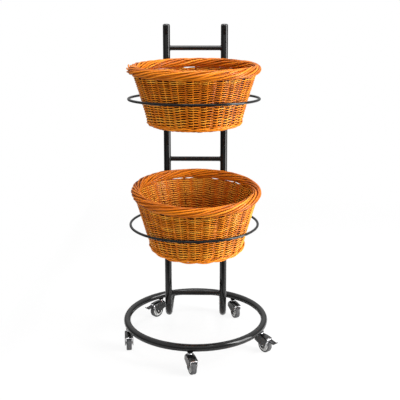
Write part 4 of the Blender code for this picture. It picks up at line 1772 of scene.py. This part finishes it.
    def foot_lip(self) -> list[Rod]:
        """The looped rods round the foot, at their own height in front and clear of the cradle behind.

        Returns:
            The rods of the lip.
        """
        lip = self.lip
        rods = []
        angle = np.linspace(0.0, FULL_TURN, 260, endpoint=False)
        front = np.clip((lip.front_edge - np.cos(angle)) / (2 * lip.front_edge), 0.0, 1.0)
        level = lip.rear_level + (self.lip_level - lip.rear_level) * front
        for phase in (0.0, math.pi):
            turn = lip.loops * angle + phase
            radius = self.shape.base_radius - lip.inset + lip.swing * np.cos(turn)
            radius += self.hand.wobble(angle, reach=0.0004, waves=5.0)
            rods.append(Rod(
                self.turn_points(angle, radius, level + lip.climb * np.sin(turn)),
                lip.rod + self.hand.wobble(angle, reach=0.0003, waves=7.0),
                np.clip(self.tone + self.hand.wobble(angle, reach=0.2, waves=3.0), 0.0, 1.0),
                closed=True,
                facing=self.turn_points(angle, 1.0, 0.0),
                groove_shade=lip.groove_shade,
            ))
        return rods

    def rim(self) -> list[Rod]:
        """The thick rolled border round the mouth, laid over a core.

        Returns:
            The rods of the rim.
        """
        ring, level = self.shape.rim_radius, self.shape.rim_rise
        roll = self.shape.rim_roll / 2
        lay = roll - self.strand
        border = Rope(self.strands, twists=3.0, ring=ring, level=level, lay=lay, thick=self.strand)
        rods = self.twisted(border)
        round_core = np.arange(120) * FULL_TURN / 120
        core = self.turn_points(round_core, ring, level)
        rods.append(even_rod(core, roll - 2 * self.strand + self.core_lap, closed=True, tint=0.0))
        rods.extend(self.rough_end(index) for index in range(self.stubs))
        return rods

    def rough_end(self, index: int) -> Rod:
        """One cut rod end that stands off the left of the rim.

        Args:
            index: which stub, from the top of the rim down.

        Returns:
            The stub.
        """
        highest, apart = 40, 32
        root, tip, stagger = 0.20, -0.05, 0.04
        roll = math.radians(highest - apart * index)
        angle = QUARTER_TURN + np.linspace(root, tip + stagger * index, 10)
        outside = self.shape.rim_roll / 2
        out = np.linspace(outside - self.strand, outside + self.stub_proud, len(angle))
        radius = self.shape.rim_radius + out * math.cos(roll)
        height = self.shape.rim_rise + out * math.sin(roll)
        return even_rod(self.turn_points(angle, radius, height), self.stub, tint=self.hand.tint(0.35))


# Casters


@dataclass
class Caster:
    """One swivel caster, modelled with its stem at the origin and its wheel trailing along +X.

    Attributes:
        dresser: finishes the pieces.
        name: which caster.
        wheel: radius of the wheel.
        width: width of the tread.
        tread: thickness of the tread.
        corner: radius of the tread's rounded corners.
        hub_width: width over the hub's bosses.
        chamfer: width of the small edges of tread and hub.
        dish: how deep the hub's faces are sunk.
        axle: radius of the axle.
        trail: distance of the axle behind the stem.
        collar_foot: height of the underside of the bright collar.
        collar_top: height of its top.
        boss_top: height at which the boss meets the ring.
        half_width: half the width over the hood.
        roof: height of the hood's top.
        shoulder: height at which hood and fork start to round off.
        dome: how far their sides fall below the top.
        tail: where the fall towards the wheel starts, its length and its depth.
        nose: the same of the fall in front of the stem.
        grain: size of the facets in which hood and fork are rounded off.
        fork_edge: width of the rounding of the fork's and pedal's edges.
        hood_edge: width of the rounding of the hood's edges.
        pedal_play: how far the pedal is drawn in all round, to clear the tread.
    """

    dresser: Dresser
    name: str
    wheel: float = 0.025
    width: float = 0.018
    tread: float = 0.006
    corner: float = 0.0035
    hub_width: float = 0.019
    chamfer: float = 0.0006
    dish: float = 0.0045
    axle: float = 0.003
    trail: float = 0.020
    collar_foot: float = 0.0583
    collar_top: float = 0.0628
    boss_top: float = 0.0675
    half_width: float = 0.01435
    roof: float = 0.061
    shoulder: float = 0.034
    dome: float = 0.0065
    tail: tuple[float, float, float] = (0.020, 0.022, 0.003)
    nose: tuple[float, float, float] = (0.003, 0.013, 0.004)
    grain: float = 0.0006
    fork_edge: float = 0.0006
    hood_edge: float = 0.0008
    pedal_play: float = 0.0003

    def __post_init__(self) -> None:
        """Read the caster's place and heading from its joints."""
        joints = self.dresser.frame.joints
        stem = Vector(joints[f"swivel_{self.name}"]["pos_m"])
        axle = Vector(joints[f"roll_{self.name}"]["pos_m"])
        heading = math.atan2(axle.y - stem.y, axle.x - stem.x)
        self.place = Matrix.Translation((stem.x, stem.y, 0)) @ Matrix.Rotation(heading, 4, "Z")
        across = Matrix.Translation((self.trail, 0, self.wheel)) @ Matrix.Rotation(QUARTER_TURN, 4, "X")
        self.on_axle = self.place @ across
        self.swivel_body = f"caster_{self.name}"
        self.wheel_body = f"wheel_{self.name}"
        self.braked = f"brake_{self.name}" in joints

    def build(self) -> None:
        """Model and dress every piece of the caster."""
        self.build_stem()
        self.build_bracket()
        self.build_wheel()
        if self.braked:
            self.build_pedal()

    def build_stem(self) -> None:
        """The painted boss under the ring and the bright collar below it."""
        name = self.name
        top, foot = self.boss_top, self.collar_top + 0.0002
        boss = [
            (0, top + 0.004), (0.004, top + 0.004), (0.004, top), (0.0095, top), (0.010, top - 0.0004),
            (0.010, top - 0.0012), (0.0066, foot), (0, foot),
        ]
        piece = turned(f"{name}_boss", boss, self.place, steps=40)
        self.dresser.dress(piece, Slot.POWDER_COAT, FRAME_BODY, f"caster_{name}_stem")
        top, foot = self.collar_top, self.collar_foot
        collar = [
            (0, top), (0.0066, top), (0.0073, top - 0.0005), (0.0075, top - 0.0014), (0.0070, top - 0.0021),
            (0.0075, top - 0.0028), (0.0075, foot + 0.0005), (0.0070, foot), (0, foot),
        ]
        piece = turned(f"{name}_collar", collar, self.place, steps=40)
        self.dresser.dress(piece, Slot.CHROME, FRAME_BODY)

    def build_bracket(self) -> None:
        """The pressed fork, the hood over it and the axle through both."""
        name = self.name
        pressed = (
            ("fork", f"{name}_bracket", self.fork_edge, Slot.CHROME),
            ("hood", f"{name}_cowl", self.hood_edge, Slot.BLACK_PLASTIC),
        )
        for ending, piece_name, edge, slot in pressed:
            node = f"caster_{name}_{ending}"
            piece = softened_copy(self.dresser.frame.nodes[node], piece_name, edge)
            self.round_off(piece)
            self.dresser.dress(piece, slot, self.swivel_body, node)
        half = self.half_width - 0.0015
        pin = self.mirrored([(0, half), (0.0018, half - 0.0002), (self.axle, half - 0.0012)])
        axle = turned(f"{name}_pin", pin, self.on_axle, steps=24)
        self.dresser.dress(axle, Slot.ZINC, self.swivel_body, f"caster_{name}_axle")

    def round_off(self, piece: bpy.types.Object) -> None:
        """Dome the top of a pressed piece of the bracket, so that hood and fork stay nested.

        Args:
            piece: the hood or the fork.
        """
        apply_modifier(piece, "REMESH", mode="VOXEL", voxel_size=self.grain)
        apply_modifier(piece, "SMOOTH", factor=0.5, iterations=5)
        move_mesh(piece, self.place.inverted())
        x, y, z = mesh_points(piece).T
        upper = np.clip((z - self.shoulder) / (self.roof - self.shoulder), 0.0, 1.0)
        across = np.minimum(np.abs(y) / self.half_width, 0.98)
        fall = self.dome * (1 - np.sqrt(1 - across ** 2))
        for along, (start, length, depth) in ((x, self.tail), (-x, self.nose)):
            fall += depth * np.clip((along - start) / length, 0.0, 1.0) ** 2
        set_mesh_points(piece, np.column_stack([x, y, z - upper * fall]))
        move_mesh(piece, self.place)
        apply_modifier(piece, "DECIMATE", ratio=0.5)
        smooth(piece)

    @staticmethod
    def mirrored(face: list[tuple[float, float]]) -> list[tuple[float, float]]:
        """Return the outline of a piece whose other half mirrors this one."""
        return [*face, *((radius, -height) for radius, height in reversed(face))]

    def build_wheel(self) -> None:
        """The tread and the dished hub inside it."""
        name = self.name
        half = self.width / 2
        seat = self.wheel - self.tread
        edge, corner = self.chamfer, self.corner
        rounding = [
            (self.wheel - corner + corner * math.sin(angle), half - corner + corner * math.cos(angle))
            for angle in angles_along(0.0, QUARTER_TURN, steps=6)
        ]
        tread = self.mirrored([(seat, half - edge), (seat + edge, half), *rounding])
        tyre = turned(f"{name}_tread", [*tread, tread[0]], self.on_axle, steps=64)
        self.dresser.dress(tyre, Slot.TREAD, self.wheel_body, f"caster_{name}_tyre")
        rim = seat - FIT_GAP
        bore = self.axle + FIT_GAP
        boss = self.hub_width / 2
        face = self.mirrored([
            (bore, boss), (0.0062, boss), (0.0068, boss - edge), (0.0072, half - self.dish),
            (rim - 0.0045, half - self.dish), (rim - 0.0035, half - edge), (rim - 0.0028, half),
            (rim - edge, half), (rim, half - edge),
        ])
        hub = turned(f"{name}_wheel_hub", [*face, face[0]], self.on_axle, steps=48)
        self.dresser.dress(hub, Slot.HUB, self.wheel_body, f"caster_{name}_hub")

    def build_pedal(self) -> None:
        """The brake pedal, with its edges rounded."""
        node = f"caster_{self.name}_pedal"
        pedal = softened_copy(self.dresser.frame.nodes[node], f"{self.name}_brake_lever", self.fork_edge)
        apply_modifier(pedal, "DISPLACE", strength=-self.pedal_play, mid_level=0.0)
        self.dresser.dress(pedal, Slot.PEDAL, f"pedal_{self.name}", node)


# Welds


@dataclass
class Welds:
    """Painted weld beads where tubes and wires meet.

    Attributes:
        dresser: finishes the piece.
        ladder: the ladder that the beads sit on.
        wires: the hoops and cradles.
        bead: radius of a bead on a tube.
        wire_share: radius of a bead on a cradle's wire, as a share of that.
        hoop_reach: half the length of a bead on a hoop, as an angle.
        hoop_lift: how far above and below a hoop's middle its beads lie.
        hoop_side: how far outside that middle they lie, in radii of the wire.
        seed: its own run of random numbers.
    """

    dresser: Dresser
    ladder: Ladder
    wires: WireWork
    bead: float = 0.0016
    wire_share: float = 0.8
    hoop_reach: float = 0.045
    hoop_lift: float = 0.0028
    hoop_side: float = 0.8
    seed: int = 5

    def __post_init__(self) -> None:
        """Start the welder's random numbers."""
        self.hand = Hand(self.seed)

    def build(self) -> None:
        """Model and dress all beads as one piece."""
        rods = [*self.bar_beads(), *self.cradle_beads(), *self.hoop_beads(), *self.arm_beads()]
        piece = bind_rods("weld_beads", rods, sides=8)
        self.dresser.dress(piece, Slot.POWDER_COAT, FRAME_BODY)

    def ripple(self, angle: np.ndarray) -> np.ndarray:
        """Bead radius along a weld, rippled as it was laid.

        Args:
            angle: how far along the weld.

        Returns:
            One radius per point.
        """
        ripples, height = 11, 0.18
        wander = self.hand.wobble(angle, reach=0.12, waves=2.0)
        return self.bead * (1 + height * np.sin(angle * ripples) + wander)

    def bar_beads(self) -> list[Rod]:
        """Beads round both ends of every crossbar.

        Returns:
            The beads.
        """
        rods = []
        ladder = self.ladder
        angle = np.arange(64) * FULL_TURN / 64
        for height in ladder.bar_z.values():
            for side, inward in ((Side.LEFT, 1), (Side.RIGHT, -1)):
                y = ladder.bar * np.cos(angle)
                x = ladder.leg_x[side] + inward * np.sqrt(ladder.tube ** 2 - y ** 2)
                path = np.column_stack([x, ladder.leg_y + y, height + ladder.bar * np.sin(angle)])
                rods.append(Rod(path, self.ripple(angle), closed=True))
        return rods

    def cradle_beads(self) -> list[Rod]:
        """Beads round the ends of the cradle legs.

        Returns:
            The beads.
        """
        rods = []
        ladder, wires = self.ladder, self.wires
        angle = np.arange(40) * FULL_TURN / 40
        for tier in Tier:
            seat = wires.seat(tier)
            leg = (ladder.leg_y - ladder.tube - seat.translation.y) / math.cos(wires.lean(tier))
            for x in (-wires.half, wires.half):
                middle = seat @ Vector((x, leg, wires.depth))
                across = wires.wire * np.cos(angle)
                y = ladder.leg_y - np.sqrt(ladder.tube ** 2 - across ** 2)
                path = np.column_stack([middle.x + across, y, middle.z + wires.wire * np.sin(angle)])
                rods.append(Rod(path, self.ripple(angle) * self.wire_share, closed=True))
        return rods

    def hoop_beads(self) -> list[Rod]:
        """Short beads above and below each hoop where it touches an upright.

        Returns:
            The beads.
        """
        rods = []
        ladder = self.ladder
        share = np.linspace(-1.0, 1.0, 15)
        thick = self.bead * (1.15 - 0.75 * share ** 2) * (1 + 0.12 * np.sin(share * 14))
        for tier in Tier:
            centre, radius = self.wires.hoop_circle(tier)
            out = radius + self.wires.wire * self.hoop_side
            for side in Side:
                towards = Vector((ladder.leg_x[side] - centre.x, ladder.leg_y - centre.y, 0)).normalized()
                angle = math.atan2(towards.y, towards.x) + share * self.hoop_reach
                x = centre.x + out * np.cos(angle)
                y = centre.y + out * np.sin(angle)
                for lift in (-self.hoop_lift, self.hoop_lift):
                    rods.append(Rod(np.column_stack([x, y, np.full(len(share), centre.z + lift)]), thick))
        return rods

    def arm_beads(self) -> list[Rod]:
        """Beads where the floor arms meet the inside of the ring.

        Returns:
            The beads.
        """
        rods = []
        ladder, ring = self.ladder, self.ladder.ring_centre
        angle = np.arange(64) * FULL_TURN / 64
        for side in Side:
            x = ladder.leg_x[side] - ring.x + ladder.tube * np.cos(angle)
            lift = ladder.tube * np.sin(angle)
            inner = ladder.ring_radius - np.sqrt(np.maximum(ladder.tube ** 2 - lift ** 2, 0.0))
            y = np.sqrt(inner ** 2 - x ** 2)
            path = np.column_stack([ring.x + x, ring.y + y, ring.z + lift])
            rods.append(Rod(path, self.ripple(angle), closed=True))
        return rods


# Studio


@dataclass(frozen=True)
class Softbox:
    """One lamp of the studio.

    Attributes:
        name: its name.
        place: where it hangs.
        size: its width and height.
        power: its power in watts.
        aim: the point that it faces.
        mirrored: whether glossy surfaces show it.
    """

    name: str
    place: Point
    size: tuple[float, float]
    power: float
    aim: Point = (0, 0, 0.6)
    mirrored: bool = True

    def hang(self) -> None:
        """Put the lamp into the scene."""
        data = bpy.data.lights.new(self.name, "AREA")
        data.shape = "RECTANGLE"
        data.size, data.size_y = self.size
        data.energy = self.power
        lamp = link_new(self.name, data)
        lamp.visible_glossy = self.mirrored
        lamp.location = self.place
        lamp.rotation_euler = (Vector(self.aim) - Vector(self.place)).to_track_quat("-Z", "Y").to_euler()


LAMPS = (
    Softbox("key_softbox", place=(2.5, -1.0, 2.1), size=(0.9, 1.4), power=66.0),
    Softbox("top_softbox", place=(0.1, -0.4, 2.9), size=(1.4, 1.4), power=55.0, aim=(0, 0, 0.5)),
    Softbox("right_panel", place=(2.25, -0.5, 0.8), size=(1.2, 1.6), power=72.0),
    Softbox("front_fill", place=(0.5, -3.0, 0.8), size=(1.8, 1.2), power=40.0, mirrored=False),
    Softbox("left_fill", place=(-2.2, -1.5, 0.9), size=(1.2, 1.2), power=24.0, mirrored=False),
)


@dataclass
class Studio:
    """Camera, lamps, world and floor.

    Attributes:
        distance: camera to the middle of the base ring, along the ground.
        height: camera above the floor.
        azimuth: how far the camera stands to the right of the front.
        pitch: how far it looks down.
        sidestep: how far it stands to the right of the line to the ring.
        sensor: width of its sensor in millimetres.
        lens: its focal length in millimetres.
        shift: upward framing shift.
        sky: strength of the world's light on the object.
        ceiling: how much brighter reflections find it overhead.
        ceiling_reach: between these heights of a reflected ray it grows so.
        floor_size: width of the floor.
        floor_drop: how far the floor lies below the wheels.
        pale: the floor's two colours near the stand.
        dim: its colour in front and at the left, which keeps the stand's reflections dark there.
        dim_ahead: between these places in front of the stand the floor goes from pale to dim.
        dim_aside: the same for places to its left.
        dim_hidden: share of the dim colour from which the camera sees pure white instead.
        paper: share of pure white in what the camera sees of the floor round the stand.
        paper_reach: between these distances that share rises to 1.
    """

    distance: float = 2.2833
    height: float = 1.0802
    azimuth: float = math.radians(0.951)
    pitch: float = math.radians(10.009)
    sidestep: float = 0.0154
    sensor: float = 36.0
    lens: float = 61.06
    shift: float = -0.12
    sky: float = 0.3
    ceiling: float = 0.9
    ceiling_reach: tuple[float, float] = (0.15, 0.6)
    floor_size: float = 14.0
    floor_drop: float = 0.0002
    pale: tuple[float, float] = (0.84, 0.88)
    dim: float = 0.03
    dim_ahead: tuple[float, float] = (-0.34, -0.5)
    dim_aside: tuple[float, float] = (-0.6, -1.1)
    dim_hidden: float = 0.3
    paper: float = 0.88
    paper_reach: tuple[float, float] = (0.7, 2.4)

    def build(self, target: Vector) -> None:
        """Set up the whole studio round the stand.

        Args:
            target: middle of the base ring.
        """
        bpy.context.scene.view_settings.view_transform = "Standard"
        self.build_camera(target)
        self.build_floor()
        self.build_world()
        for lamp in LAMPS:
            lamp.hang()

    def build_camera(self, target: Vector) -> None:
        """Place the camera at the photograph's viewpoint.

        Args:
            target: middle of the base ring.
        """
        back = Vector((math.sin(self.azimuth), -math.cos(self.azimuth), 0))
        right = Vector((math.cos(self.azimuth), math.sin(self.azimuth), 0))
        data = bpy.data.cameras.new("camera")
        data.sensor_width = self.sensor
        data.lens = self.lens
        data.shift_y = self.shift
        camera = link_new("camera", data)
        ground = Vector((target.x, target.y, 0)) + back * self.distance + right * self.sidestep
        camera.location = ground + Vector((0, 0, self.height))
        camera.rotation_euler = (QUARTER_TURN - self.pitch, 0, self.azimuth)
        bpy.context.scene.camera = camera

    def build_floor(self) -> None:
        """A wide pale floor, white to the camera but still shaded by the stand."""
        bpy.ops.object.select_all(action="DESELECT")
        bpy.ops.mesh.primitive_grid_add(
            x_subdivisions=8, y_subdivisions=8, size=self.floor_size, location=(0, 0, -self.floor_drop)
        )
        floor = bpy.context.object
        floor.name = "studio_floor"
        material, desk, shader = new_material("studio_floor")
        where = desk.add("ShaderNodeTexCoord").outputs["Object"]
        dark, light = self.pale
        mottle = Effects.place(
            desk, Effects.mottle(), Vector=where, Scale=3.0, Dark=rgba(grey(dark)), Light=rgba(grey(light))
        )
        spot = desk.add("ShaderNodeSeparateXYZ", Vector=where)
        ahead = desk.remap(spot.outputs["Y"], 0.0, 1.0, *self.dim_ahead)
        aside = desk.remap(spot.outputs["X"], 0.0, 1.0, *self.dim_aside)
        unlit = desk.math("MAXIMUM", ahead, aside)
        desk.feed(shader, "Base Color", desk.mix(unlit, mottle.outputs["Color"], rgba(grey(self.dim))))
        shader.inputs["Roughness"].default_value = 0.9
        reach = desk.tree.nodes.new("ShaderNodeVectorMath")
        reach.operation = "LENGTH"
        desk.feed(reach, 0, where)
        far = desk.remap(reach.outputs["Value"], self.paper, 1.0, *self.paper_reach)
        white = desk.math("MAXIMUM", far, desk.remap(unlit, self.paper, 1.0, 0.0, self.dim_hidden))
        blend = desk.add("ShaderNodeMixShader")
        desk.feed(blend, 0, desk.math("MULTIPLY", self.seen_rays(desk), white))
        desk.feed(blend, 1, shader.outputs["BSDF"])
        desk.feed(blend, 2, desk.add("ShaderNodeEmission").outputs["Emission"])
        desk.feed(desk.tree.nodes["Material Output"], "Surface", blend.outputs["Shader"])
        floor.data.materials.append(material)

    @staticmethod
    def seen_rays(desk: NodeDesk) -> bpy.types.NodeSocket:
        """Mask of the rays that show a background: camera and transmission rays."""
        path = desk.add("ShaderNodeLightPath")
        return desk.math("MAXIMUM", path.outputs["Is Camera Ray"], path.outputs["Is Transmission Ray"])

    def build_world(self) -> None:
        """A white surround that lights the stand gently."""
        world = bpy.data.worlds.new("white_surround")
        world.use_nodes = True
        bpy.context.scene.world = world
        desk = NodeDesk(world.node_tree)
        background = world.node_tree.nodes["Background"]
        background.inputs["Color"].default_value = rgba(grey(1.0))
        way = desk.add("ShaderNodeSeparateXYZ", Vector=desk.add("ShaderNodeTexCoord").outputs["Generated"])
        overhead = desk.remap(way.outputs["Z"], 0.0, self.ceiling, *self.ceiling_reach)
        glossy = desk.add("ShaderNodeLightPath").outputs["Is Glossy Ray"]
        lit = desk.math("ADD", self.sky, desk.math("MULTIPLY", overhead, glossy))
        desk.feed(background, "Strength", desk.math("MAXIMUM", self.seen_rays(desk), lit))


def main() -> None:
    """Load the frame, dress the stand and set up the studio."""
    logging.basicConfig(level=logging.INFO, format="%(message)s")
    frame = PackedFrame(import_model())
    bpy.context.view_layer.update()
    dresser = Dresser(frame)
    dresser.paint_nodes()
    ladder = Ladder(dresser)
    ladder.build()
    wires = WireWork(dresser, ladder)
    wires.build()
    Welds(dresser, ladder, wires).build()
    WovenBasket(
        dresser, Tier.UPPER, seed=11, tone=0.5, dark_bay=14, stubs=3, open_bays=(0,), lift=-0.002,
        tuck=0.008, shape=BasketShape(rim_rise=0.171),
    ).build()
    WovenBasket(
        dresser, Tier.LOWER, seed=23, tone=0.54, dent=0.003, drop=0.003, lift=0.005, tuck=0.003,
        lip_level=0.0025, open_bays=(0, 1, 22, 23, 24),
        shape=BasketShape(base_radius=0.153, neck_radius=0.1935),
    ).build()
    for name in ("front", "right", "rear_right", "rear_left", "left"):
        Caster(dresser, name).build()
    Studio().build(ladder.ring_centre)


if __name__ == "__main__":
    main()
